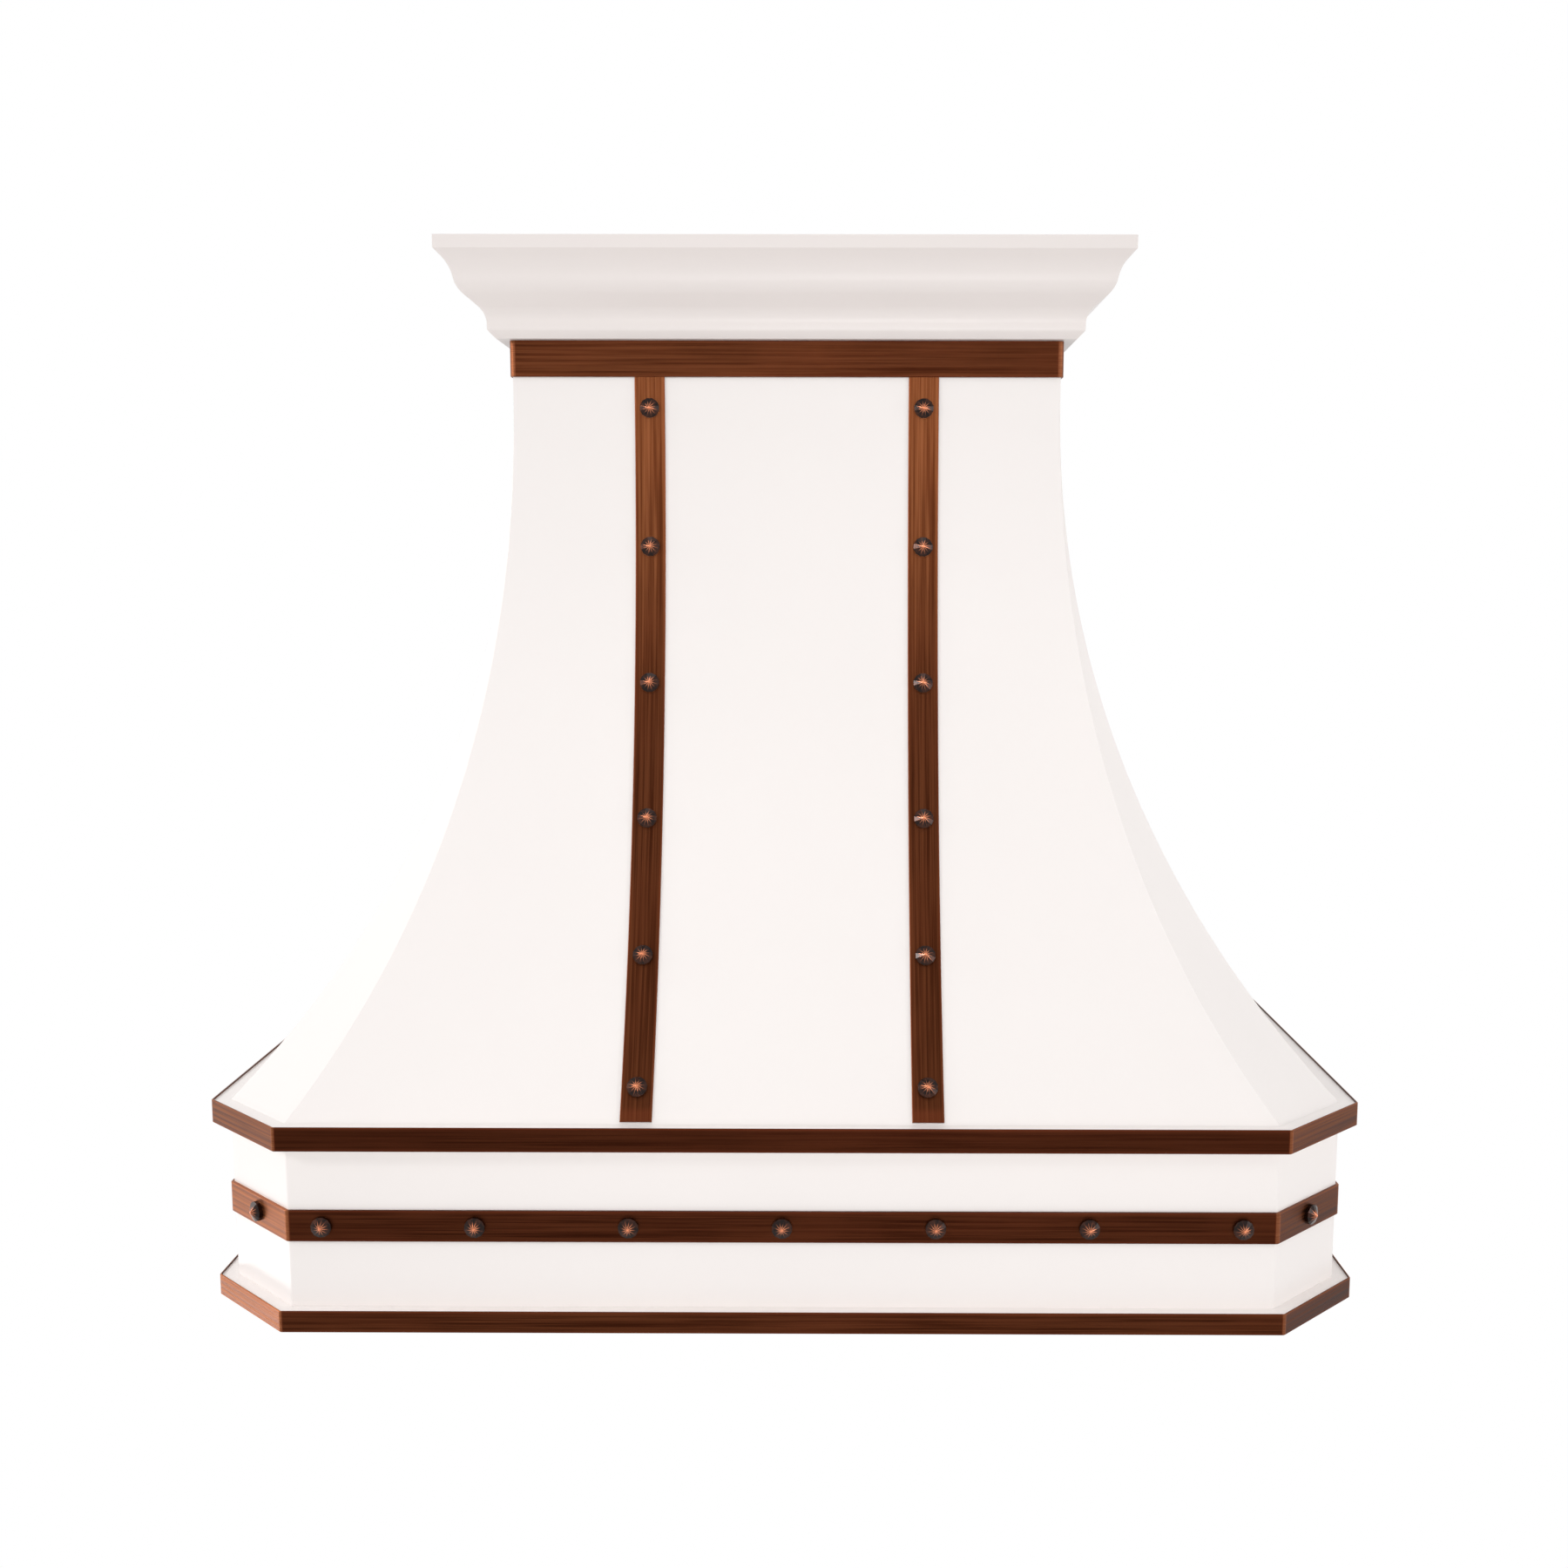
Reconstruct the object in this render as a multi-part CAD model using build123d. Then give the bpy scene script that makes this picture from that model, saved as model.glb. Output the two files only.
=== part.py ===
from build123d import *
import math
import os

# Curved wall range hood: a flared steel shell on an apron between two ledges,
# with copper bands, straps and clavos, a crown, a baffle filter liner and a blower.
# The origin is on the wall plane, at the middle of the width, level with the bottom rim.
# X runs along the width, -Y is the front that faces the room, +Z is up.

os.makedirs("parts", exist_ok=True)

# Driving sizes in millimetres: plan of the hood
width = 914.4  # over the ledges
depth = 558.8  # from the wall to the front of the ledges
corner_leg = 71.3  # what each 45 degree corner takes off the width and the depth
sheet = 1.5  # steel sheet of the shell, apron, ledges and crown
copper = 1.2  # copper bands round the two ledges

# Heights above the bottom rim
lower_ledge_height = 17.0
upper_ledge_bottom = 144.1
upper_ledge_height = 18.9
flare_height = 553.8  # from the upper ledge to where the curves turn upright
neck_band_rise = 21.5  # from there to the lower edge of the copper neck band
neck_band_height = 28.9
apron_strap_bottom = 68.7

# Apron, straps and bands
apron_inset = 13.4  # apron face behind the ledge face
ledge_lip = 24.0  # width of the flange under the lower ledge
ledge_seat = 42.0  # width of the flange on the upper ledge that carries the shell
apron_strap_height = 24.8
apron_strap_thick = 2.5
neck_band_thick = 2.3
strap_width = 24.6
strap_thick = 1.5
strap_spacing = 223.8  # between the centre lines of the two upright straps

# Flared shell
side_reach = 233.7  # from the side of the neck out to the side of the ledges
neck_depth = 377.8
shell_inset = 15.4  # foot of the shell behind the ledge face
corner_tip = 0.5  # width left where each corner panel runs out

# Clavos: round nail heads with a facetted cone
clavo_radius = 8.0
clavo_wall = 3.0
clavo_height = 7.0
clavo_facets = 12
clavo_slope = 60.0  # of the facets, from upright
strap_clavo_first = 25.0  # below the neck band, along the strap
strap_clavo_pitch = 112.5
strap_clavo_count = 5
strap_clavo_last = 26.7  # above the ledge, along the strap
apron_clavo_pitch = 118.0
clavo_seat = 0.04  # a flat nail head on a curved strap

# Crown moulding over the neck band
crown_step = 11.0
crown_bevel = 5.0
crown_fillet = 1.0
crown_fillet_rise = 2.5
crown_quirk = 3.5
crown_cove = 17.0
crown_slope = 11.5
crown_ovolo = 20.0
crown_upper_cove = 30.0
crown_projection = 51.3
crown_fascia = 10.1

# Deck that closes the neck and carries the blower, duct collar and wiring
deck_drop = 95.0  # below the top of the crown
deck_bracket = 20.0
duct_radius = 75.5
collar_sheet = 1.0
collar_height = 86.0
collar_flange = 14.0
collar_from_wall = 142.0

# Back-draught damper
damper_pin_radius = 2.0
damper_pin_height = 13.0
damper_sheet = 0.8
damper_gap = 1.0  # between a flap and the collar
damper_stop = 3.0
knuckle_wall = 1.2
running_clearance = 0.05  # between a shaft or pin and its hole
free_clearance = 0.3  # between moving faces that don't touch

# Blower: impeller in a scroll with four-centre arcs
blower_drop = 210.0  # axis below the deck
transition_height = 60.0
corner_bends = 6  # flat facets in each corner of the transition
scroll_sheet = 1.2
scroll_inner_width = 150.0
scroll_step = 14.0  # growth of the scroll in each quarter turn
scroll_radius = 112.0
scroll_tongue = 49.0  # outlet wall behind the impeller axis
impeller_radius = 95.0
impeller_width = 128.0
impeller_blades = 28
blade_depth = 17.0
blade_thick = 1.0
inlet_radius = 76.0
hub_radius = 14.0
shaft_radius = 4.0
motor_radius = 46.0
motor_length = 78.0
motor_mount = 6.0
motor_lead_in = 22.0

# Wall fixings
rail_thick = 3.0
rail_height = 56.0
screw_radius = 4.0
screw_inset = 63.5  # from the sides of the neck
screw_rise = 26.0
foot_rail_height = 40.0

# Liner with three baffle filters
liner_sheet = 1.2
liner_gap = 1.0
liner_height = 40.0  # top face of the liner plate
side_strip = 42.3  # liner plate beside the filters
front_strip = 125.9  # liner plate in front of the filters
rear_strip = 40.0  # from the wall to the filters
filter_thick = 18.0
filter_side_gap = 1.0
filter_end_gap = 2.5
divider_width = 12.0
upstand = 21.0
filter_sheet = 1.0
filter_rim = 16.0
baffle_count = 8
baffle_width = 22.0
baffle_depth = 10.0
baffle_sheet = 0.8
pivot_radius = 2.0
pivot_inset = 4.0
pivot_reach = 2.0
pull_wire = 1.5
pull_width = 46.0
pull_length = 20.0
lug_drop = 6.0  # lugs of the pull below the frame

# Lamps, controls and grease cup in the liner
lamp_radius = 30.0
lamp_flange = 4.0
lamp_height = 26.0
lamp_spacing = 560.0
lens_radius = 25.0
lens_thick = 1.5
lamp_inset = 80.8  # centre line of the lamps and buttons behind the front of the ledges
panel_length = 150.0
panel_width = 30.0
box_height = 26.0
button_radius = 6.0
button_pitch = 28.0
button_count = 4
button_travel = 2.5
button_bevel = 0.8
button_flange = 1.5
panel_wall = 2.0
panel_flange = 5.0
cup_length = 110.0
cup_width = 24.0
cup_depth = 16.0
cup_sheet = 1.2
cup_travel = 70.0
cup_rim = 3.0
cup_lip = 1.5

# Wiring box on the deck
wire_box_length = 80.0
wire_box_width = 60.0
wire_box_height = 42.0
wire_box_inset = 63.5  # from the side of the neck to the middle of the box
gland_radius = 9.0
gland_bore = 5.0
gland_height = 14.0

# Sizes that follow
neck_half_width = width / 2 - side_reach
screw_span = 2 * (neck_half_width - screw_inset)
wire_box_x = neck_half_width - wire_box_inset
strip_line = depth - lamp_inset
upper_ledge_top = upper_ledge_bottom + upper_ledge_height
flare_top = upper_ledge_top + flare_height
band_bottom = flare_top + neck_band_rise
crown_bottom = band_bottom + neck_band_height


# Basic shapes


def block(x0, x1, y0, y1, z0, z1):
    """Box between two corners."""
    return Pos((x0 + x1) / 2, (y0 + y1) / 2, (z0 + z1) / 2) * Box(x1 - x0, y1 - y0, z1 - z0)


def plate(points, z0, z1):
    """Upright block over a plan outline."""
    face = make_face(Polyline(*points, close=True))
    return Pos(0, 0, z0) * extrude(face, z1 - z0, dir=(0, 0, 1))


def rod(radius, x0, x1, y, z):
    """Round bar along X."""
    return Pos((x0 + x1) / 2, y, z) * Rot(0, 90, 0) * Cylinder(radius, x1 - x0)


def post(radius, x, y, z0, z1):
    """Round bar along Z."""
    return Pos(x, y, (z0 + z1) / 2) * Cylinder(radius, z1 - z0)


def mirrored(shape):
    """The same shape on the other side of the middle of the hood."""
    return mirror(shape, about=Plane.YZ)


# Plan of the hood


def outline(inset, rear=0.0):
    """Plan set in from the outer faces: open end on the wall and two front corners cut at 45 degrees."""
    half = width / 2 - inset
    front = depth - inset
    shoulder = width / 2 - corner_leg - inset * math.tan(math.radians(22.5))
    side = front - (half - shoulder)
    right = [(half, rear), (half, -side), (shoulder, -front)]
    return right + [(-x, y) for x, y in reversed(right)]


def wrap(outer, inner, z0, z1):
    """Strip bent round both sides, the corners and the front, between two insets."""
    return plate(outline(outer), z0, z1) - plate(outline(inner, rear=10), z0, z1)


# Ledges, apron and their copper

lower_ledge = wrap(copper, copper + sheet, 0, lower_ledge_height)
lower_ledge += wrap(copper, ledge_lip, 0, sheet)
lower_ledge += wrap(copper, apron_inset, lower_ledge_height - sheet, lower_ledge_height)
lower_ledge_band = wrap(0, copper, 0, lower_ledge_height)

upper_ledge = wrap(copper, copper + sheet, upper_ledge_bottom, upper_ledge_top)
upper_ledge += wrap(copper, apron_inset, upper_ledge_bottom, upper_ledge_bottom + sheet)
upper_ledge += wrap(copper, ledge_seat, upper_ledge_top - sheet, upper_ledge_top)
upper_ledge_band = wrap(0, copper, upper_ledge_bottom, upper_ledge_top)

apron = wrap(apron_inset, apron_inset + sheet, sheet, upper_ledge_top - sheet)
apron_strap_top = apron_strap_bottom + apron_strap_height
apron_strap = wrap(apron_inset - apron_strap_thick, apron_inset, apron_strap_bottom, apron_strap_top)


# Flared shell: every profile is one arc that leaves the neck upright and ends on the ledge

FRONT = Vector(0, -1, 0)
RIGHT = Vector(1, 0, 0)
LEFT = Vector(-1, 0, 0)
RIGHT_CORNER = Vector(1, -1, 0).normalized()
LEFT_CORNER = Vector(-1, -1, 0).normalized()

foot_half = width / 2 - shell_inset
foot_depth = depth - shell_inset
foot_corner_leg = corner_leg - shell_inset * (1 - math.tan(math.radians(22.5)))
foot_diagonal = (foot_half + foot_depth - foot_corner_leg) / math.sqrt(2)
neck_diagonal = (neck_half_width + neck_depth - corner_tip) / math.sqrt(2)

# Distance from the middle of the wall to each face, at the neck and at the foot
faces = {
    "front": (FRONT, neck_depth, foot_depth),
    "right": (RIGHT, neck_half_width, foot_half),
    "left": (LEFT, neck_half_width, foot_half),
    "right_corner": (RIGHT_CORNER, neck_diagonal, foot_diagonal),
    "left_corner": (LEFT_CORNER, neck_diagonal, foot_diagonal),
}


def arc_radius(neck, foot):
    """Radius of the arc that spans the flare height over the reach from neck to foot."""
    reach = foot - neck
    return (flare_height**2 + reach**2) / (2 * reach)


def flared(face, skin=0.0, top=0.0, above=None):
    """All that lies behind one flared face, its skin taken off; above the curve it is upright."""
    direction, neck, foot = faces[face]
    centre = neck + arc_radius(neck, foot)
    radius = arc_radius(neck, foot) + skin
    sweep = math.asin(flare_height / radius)
    start = (neck - skin, flare_top)
    middle = (centre - radius * math.cos(sweep / 2), flare_top - radius * math.sin(sweep / 2))
    end = (centre - radius * math.cos(sweep), upper_ledge_top)
    upright = neck - skin if above is None else above
    back = 0 if face == "front" else -width
    side = [start, (upright, flare_top), (upright, top), (back, top), (back, upper_ledge_top), end]
    if above is None:
        side.pop(1)
    if top == flare_top:
        side = [start, (back, top), (back, upper_ledge_top), end]
    edges = [ThreePointArc(end, middle, start), Polyline(*side)]
    upright_plane = Plane(origin=(0, 0, 0), x_dir=direction, z_dir=direction.cross(Vector(0, 0, 1)))
    return extrude(upright_plane * make_face(edges), width, both=True)


def crown_line():
    """Outer line of the crown, outward from the shell and up from the neck band."""
    slope = 50
    top_slope = 45
    step = (crown_step, 0)
    bevel = (crown_step + crown_bevel, crown_bevel)
    fillet_end = (bevel[0] + crown_fillet, bevel[1] + crown_fillet_rise)
    start = (fillet_end[0], fillet_end[1] + crown_quirk)
    cove = JernArc(start, (0, 1), crown_cove, -slope)
    straight = PolarLine(cove @ 1, crown_slope, direction=cove % 1)
    ovolo = JernArc(straight @ 1, straight % 1, crown_ovolo, 40)
    upper_cove = JernArc(ovolo @ 1, ovolo % 1, crown_upper_cove, 10 - top_slope)
    rise = (upper_cove @ 1).Y + crown_projection - (upper_cove @ 1).X
    top = rise + crown_fascia
    lines = [
        Line((0, 0), step),
        Line(step, bevel),
        Line(bevel, fillet_end),
        Line(fillet_end, start),
        cove,
        straight,
        ovolo,
        upper_cove,
        Line(upper_cove @ 1, (crown_projection, rise)),
        Line((crown_projection, rise), (crown_projection, top)),
        Line((crown_projection, top), (-sheet, top)),
    ]
    return Wire(lines), top


crown_wire, crown_rise = crown_line()
crown_top = crown_bottom + crown_rise
shell_top = crown_top - sheet
deck_bottom = crown_top - deck_drop
deck_top = deck_bottom + sheet


def shell_panels():
    """Front, corner and side panels; each corner panel covers the edges of its neighbours."""
    beyond = width
    front_out = flared("front", top=shell_top)
    front_in = flared("front", skin=sheet, top=shell_top)
    right_out = flared("right", top=shell_top)
    right_in = flared("right", skin=sheet, top=shell_top)
    left_out = mirrored(right_out)
    corner_out = flared("right_corner", top=flare_top)
    corner_skin = corner_out - flared("right_corner", skin=sheet, top=flare_top)
    corner_in = flared("right_corner", skin=sheet, top=shell_top, above=beyond)
    corner = corner_skin & front_out & right_out
    side = (right_out - right_in) & corner_in & front_in
    front = (front_out - front_in) & corner_in & mirrored(corner_in) & right_out & left_out
    return front, corner, side


front_panel, corner_panel_right, side_panel_right = shell_panels()
corner_panel_left = mirrored(corner_panel_right)
side_panel_left = mirrored(side_panel_right)


# Upright copper straps and their clavos


def strap(side):
    """Strip bent to the front curve, from the ledge up to the neck band."""
    skin = flared("front", skin=-strap_thick, top=band_bottom) - flared("front", top=shell_top)
    centre = side * strap_spacing / 2
    cut = block(centre - strap_width / 2, centre + strap_width / 2, -depth, 0, upper_ledge_top, band_bottom)
    return skin & cut


def clavo():
    """Side wall of flat facets, and a low cone of facets that runs up to a blunt tip."""
    wall = extrude(RegularPolygon(clavo_radius, clavo_facets), clavo_wall)
    foot = Pos(0, 0, clavo_wall) * RegularPolygon(clavo_radius, clavo_facets)
    return wall + extrude(foot, clavo_height - clavo_wall, taper=clavo_slope)


def strap_place(distance, x):
    """Plane on the outer face of a strap, at a distance along it below the neck band."""
    direction, neck, foot = faces["front"]
    radius = arc_radius(neck, foot)
    turned = max(distance - neck_band_rise, 0) / radius
    along = min(distance, neck_band_rise)
    lift = strap_thick + clavo_seat
    out = neck + radius - (radius - lift) * math.cos(turned)
    height = band_bottom - along - (radius - lift) * math.sin(turned)
    return Plane(origin=(x, -out, height), x_dir=(1, 0, 0), z_dir=(0, -math.cos(turned), math.sin(turned)))


def strap_length():
    """Length of a strap along its curve."""
    direction, neck, foot = faces["front"]
    return neck_band_rise + arc_radius(neck, foot) * math.asin(flare_height / arc_radius(neck, foot))


def strap_clavos(side):
    """Even nails down the strap and one close to its foot."""
    distances = [strap_clavo_first + strap_clavo_pitch * i for i in range(strap_clavo_count)]
    distances.append(strap_length() - strap_clavo_last)
    head = clavo()
    return Compound(children=[strap_place(d, side * strap_spacing / 2) * head for d in distances])


def apron_clavos():
    """Nails in a row along the front, one on each corner and a row along each side."""
    head = clavo()
    face = apron_inset - apron_strap_thick
    height = apron_strap_bottom + apron_strap_height / 2
    half = width / 2 - face
    front = depth - face
    shoulder = outline(face)[2][0]
    side_end = -outline(face)[1][1]
    places = []
    count = int((shoulder - clavo_radius) / apron_clavo_pitch)
    for i in range(-count, count + 1):
        spot = (i * apron_clavo_pitch, -front, height)
        places.append(Plane(origin=spot, x_dir=(1, 0, 0), z_dir=(0, -1, 0)))
    side_count = int((side_end - clavo_radius) / apron_clavo_pitch + 0.5)
    for side in (-1, 1):
        corner = (side * (half + shoulder) / 2, -(front + side_end) / 2, height)
        places.append(Plane(origin=corner, x_dir=(1, side, 0), z_dir=(side, -1, 0)))
        for i in range(side_count):
            spot = (side * half, -side_end + apron_clavo_pitch * (i + 0.5), height)
            places.append(Plane(origin=spot, x_dir=(0, 1, 0), z_dir=(side, 0, 0)))
    return Compound(children=[place * head for place in places])


strap_right = strap(1)
strap_left = mirrored(strap_right)
strap_clavos_right = strap_clavos(1)
strap_clavos_left = strap_clavos(-1)
apron_nails = apron_clavos()


# Neck band and crown


def neck_outline(grow, rear=0.0):
    """Plan of the neck, grown outward."""
    half = neck_half_width + grow
    front = neck_depth + grow
    return [(half, rear), (half, -front), (-half, -front), (-half, rear)]


neck_band = plate(neck_outline(neck_band_thick), band_bottom, crown_bottom)
neck_band -= plate(neck_outline(0, rear=10), band_bottom, crown_bottom)


def crown():
    """Sheet moulding in three lengths, mitred at the front corners of the neck."""
    skin = crown_wire.offset_2d(sheet, side=Side.LEFT, closed=True)
    section = make_face(skin.edges())
    reach = crown_projection + 1
    half, front = neck_half_width, neck_depth
    front_plane = Plane(origin=(0, -front, crown_bottom), x_dir=(0, -1, 0), z_dir=(-1, 0, 0))
    side_plane = Plane(origin=(half, 0, crown_bottom), x_dir=(1, 0, 0), z_dir=(0, -1, 0))
    front_bar = extrude(front_plane * section, width, both=True)
    side_bar = extrude(side_plane * section, depth, both=True)
    inner = 2 * sheet
    miter = [(half - inner, -front + inner), (half + reach, -front - reach)]
    front_plan = [*miter, (-miter[1][0], miter[1][1]), (-miter[0][0], miter[0][1])]
    side_plan = [*miter, (miter[1][0], 0), (miter[0][0], 0)]
    front_piece = front_bar & plate(front_plan, crown_bottom, crown_top)
    side_piece = side_bar & plate(side_plan, crown_bottom, crown_top)
    return front_piece, side_piece


crown_front, crown_return_right = crown()
crown_return_left = mirrored(crown_return_right)


# Deck in the neck, its bracket and the wall rails

inner_half = neck_half_width - sheet
inner_depth = neck_depth - sheet
collar_inner = duct_radius - collar_sheet


def deck_frame():
    """Angle strip round the front and sides of the neck, under the deck."""
    leg = plate(neck_outline(-sheet, 0), deck_bottom - deck_bracket, deck_bottom)
    leg -= plate(neck_outline(-sheet - sheet, 10), deck_bottom - deck_bracket, deck_bottom)
    shelf = plate(neck_outline(-sheet, 0), deck_bottom - sheet, deck_bottom)
    shelf -= plate(neck_outline(-sheet - deck_bracket, 10), deck_bottom - sheet, deck_bottom)
    return (leg + shelf) - block(-width, width, -rail_thick, 10, deck_bottom - rail_height, deck_bottom)


def deck_plate():
    """Sheet that closes the neck, with the duct hole and the hole for the wiring gland."""
    sheet_plate = plate(neck_outline(-sheet), deck_bottom, deck_top)
    sheet_plate -= post(collar_inner - scroll_sheet, 0, -collar_from_wall, deck_bottom, deck_top)
    return sheet_plate - post(gland_radius, wire_box_x, -collar_from_wall, deck_bottom, deck_top)


def hanging_rail():
    """Flat bar across the back of the neck with four holes for the wall screws."""
    bar = block(-inner_half, inner_half, -rail_thick, 0, deck_bottom - rail_height, deck_bottom)
    middle = deck_bottom - rail_height / 2
    for x in (-screw_span / 2, screw_span / 2):
        for z in (middle - screw_rise / 2, middle + screw_rise / 2):
            bar -= Pos(x, -rail_thick / 2, z) * Rot(90, 0, 0) * Cylinder(screw_radius, 2 * rail_thick)
    return bar


deck_bracket_frame = deck_frame()
top_deck = deck_plate()
wall_rail = hanging_rail()
foot_half_width = width / 2 - ledge_lip
foot_rail = block(-foot_half_width, foot_half_width, -rail_thick, 0, 0, foot_rail_height)


# Duct collar with its back-draught damper

pin_height = deck_top + damper_pin_height
knuckle_radius = damper_pin_radius + running_clearance + knuckle_wall


def duct_collar():
    """Tube on a flat flange, with a stop ring under the flaps and two holes for the pin."""
    y = -collar_from_wall
    tube = post(duct_radius, 0, y, deck_top, deck_top + collar_height)
    flange = post(duct_radius + collar_flange, 0, y, deck_top, deck_top + collar_sheet)
    stop_top = pin_height - damper_sheet / 2 - knuckle_wall
    body = tube + flange - post(collar_inner, 0, y, deck_top, deck_top + collar_height)
    stop = post(duct_radius - collar_sheet / 2, 0, y, stop_top - collar_sheet, stop_top)
    stop -= post(collar_inner - damper_stop, 0, y, stop_top - collar_sheet, stop_top)
    stop -= rod(knuckle_radius + 1, -duct_radius, duct_radius, y, pin_height)
    return body + stop - rod(damper_pin_radius, -2 * duct_radius, 2 * duct_radius, y, pin_height)


def damper_flap(side):
    """Half disc with rolled knuckles that alternate with those of the other flap."""
    y = -collar_from_wall
    radius = collar_inner - damper_gap
    low = pin_height - damper_sheet / 2 - knuckle_wall + free_clearance
    disc = post(radius, 0, y, low, low + damper_sheet)
    gap = knuckle_radius + free_clearance
    edge = gap if side > 0 else -radius
    disc &= block(-radius, radius, y + edge, y + edge + radius - gap, low, low + damper_sheet)
    knuckles = 6
    pitch = 2 * (radius - 6) / knuckles
    for i in range(knuckles):
        if (i % 2 == 0) == (side > 0):
            x0 = -radius + 6 + i * pitch + free_clearance
            x1 = x0 + pitch - 2 * free_clearance
            disc += rod(knuckle_radius, x0, x1, y, pin_height)
            reach = sorted((y, y + side * (gap + 2)))
            disc += block(x0, x1, reach[0], reach[1], low, low + damper_sheet)
    return disc - rod(damper_pin_radius + running_clearance, -duct_radius, duct_radius, y, pin_height)


collar = duct_collar()
damper_pin = rod(damper_pin_radius, -duct_radius, duct_radius, -collar_from_wall, pin_height)
damper_flap_rear = damper_flap(1)
damper_flap_front = damper_flap(-1)


# Blower

scroll_outer = scroll_radius + 2 * scroll_step + scroll_step / 2  # axis to the rear outlet wall
outlet_middle = (scroll_outer + scroll_tongue) / 2
blower_y = -collar_from_wall - outlet_middle
blower_z = deck_bottom - blower_drop
scroll_half = scroll_inner_width / 2
scroll_top = deck_bottom - transition_height
SCROLL_PLANE = Plane(origin=(0, blower_y, blower_z), x_dir=(0, 1, 0), z_dir=(1, 0, 0))


def scroll_face(grow, extra=0.0):
    """Four-centre scroll with an upright outlet, all walls moved outward."""
    step = scroll_step
    shift = step / 2
    first = scroll_radius + grow
    second = first + step
    third = second + step
    top = scroll_top - blower_z + extra
    wall = scroll_tongue - grow
    begin = math.acos((wall + shift) / first)
    tongue = (wall, -shift + first * math.sin(begin))
    turn = (begin + math.pi) / 2
    over = (-shift + first * math.cos(turn), -shift + first * math.sin(turn))
    rear = (-shift - first, -shift)
    low = (shift, -shift - second)
    out = (shift + third, shift)
    diagonal = math.sqrt(0.5)
    edges = [
        Line((wall, top), tongue),
        ThreePointArc(tongue, over, rear),
        ThreePointArc(rear, (shift - second * diagonal, -shift - second * diagonal), low),
        ThreePointArc(low, (shift + third * diagonal, shift - third * diagonal), out),
        Line(out, (out[0], top)),
        Line((out[0], top), (wall, top)),
    ]
    return make_face(edges)


def blower_scroll():
    """Spiral wall between two side plates, with a flared inlet on the right and a shaft hole on the left."""
    outside = extrude(SCROLL_PLANE * scroll_face(scroll_sheet), scroll_half + scroll_sheet, both=True)
    inside = extrude(SCROLL_PLANE * scroll_face(0, extra=10), scroll_half, both=True)
    case = outside - inside
    case -= rod(inlet_radius, 0, scroll_half + 10, blower_y, blower_z)
    case -= rod(hub_radius, -scroll_half - 10, 0, blower_y, blower_z)
    lip = 5.0
    start, end = scroll_half + scroll_sheet, scroll_half + scroll_sheet + lip
    near, far = blower_y + inlet_radius, blower_y + inlet_radius + lip
    outer_side = [(end, far + scroll_sheet), (start, near + scroll_sheet)]
    section = Polyline((start, near), (end, far), *outer_side, close=True)
    mouth = revolve(Pos(0, 0, blower_z) * make_face(section), Axis((0, blower_y, blower_z), (1, 0, 0)))
    return case + mouth


def funnel(half_x, half_y, radius, z0, z1):
    """Solid from an oblong to a round end: a flat triangle on each side and a fan of bends at each corner."""
    count = 4 * corner_bends
    ring = [Vector(radius, 0, z1).rotate(Axis.Z, 360 * i / count) for i in range(count)]
    corners = [Vector(sx * half_x, sy * half_y, z0) for sx, sy in ((1, 1), (-1, 1), (-1, -1), (1, -1))]
    outlines = [ring, corners]
    for quarter, corner in enumerate(corners):
        first = quarter * corner_bends
        for i in range(first, first + corner_bends):
            outlines.append([corner, ring[i], ring[(i + 1) % count]])
        outlines.append([corners[quarter - 1], corner, ring[first]])
    return Solid(Shell([make_face(Polyline(*points, close=True)).face() for points in outlines]))


def transition():
    """Sheet funnel from the oblong scroll outlet to the round duct, braked at its corners."""
    x, y = scroll_half, outlet_middle - scroll_tongue
    radius = collar_inner - scroll_sheet
    overlap = 0.01
    outer = funnel(x + scroll_sheet, y + scroll_sheet, collar_inner, scroll_top, deck_bottom)
    inner = funnel(x, y, radius, scroll_top - overlap, deck_bottom + overlap)
    return Pos(0, -collar_from_wall, 0) * (outer - inner)


def impeller():
    """Squirrel cage: forward-curved blades between a back plate with a hub and an end ring."""
    half = impeller_width / 2
    inner = impeller_radius - blade_depth
    tip = (impeller_radius - 1, 0)
    root = (inner * math.cos(math.radians(12)), inner * math.sin(math.radians(12)))
    middle = (impeller_radius - blade_depth * 0.55, blade_depth * 0.12)
    outer_arc = ThreePointArc(root, middle, tip)
    back_points = [(x, y + blade_thick) for x, y in (root, middle, (tip[0] - 0.3, tip[1]))]
    inner_arc = ThreePointArc(*back_points)
    ends = [Line(outer_arc @ 0, inner_arc @ 0), Line(outer_arc @ 1, inner_arc @ 1)]
    blade = make_face([outer_arc, inner_arc, *ends])
    plane = Plane(origin=(0, blower_y, blower_z), x_dir=(0, 1, 0), z_dir=(1, 0, 0))
    solid_blade = extrude(blade, half - 0.5, both=True)
    cage = [Rot(0, 0, i * 360 / impeller_blades) * solid_blade for i in range(impeller_blades)]
    back = Pos(0, 0, -half + 0.6) * Cylinder(impeller_radius, 1.2)
    ring = Pos(0, 0, half - 0.6) * (Cylinder(impeller_radius, 1.2) - Cylinder(inner, 1.2))
    hub = Pos(0, 0, -half + hub_radius) * Cylinder(hub_radius - 3, 2 * hub_radius)
    wheel = (back + ring + hub + cage) - Cylinder(shaft_radius, 2 * impeller_width)
    return plane * wheel


motor_face = -scroll_half - scroll_sheet - motor_mount
shaft_end = -impeller_width / 2 + 2 * hub_radius
motor_shaft = rod(shaft_radius, motor_face - motor_lead_in, shaft_end, blower_y, blower_z)


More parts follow.
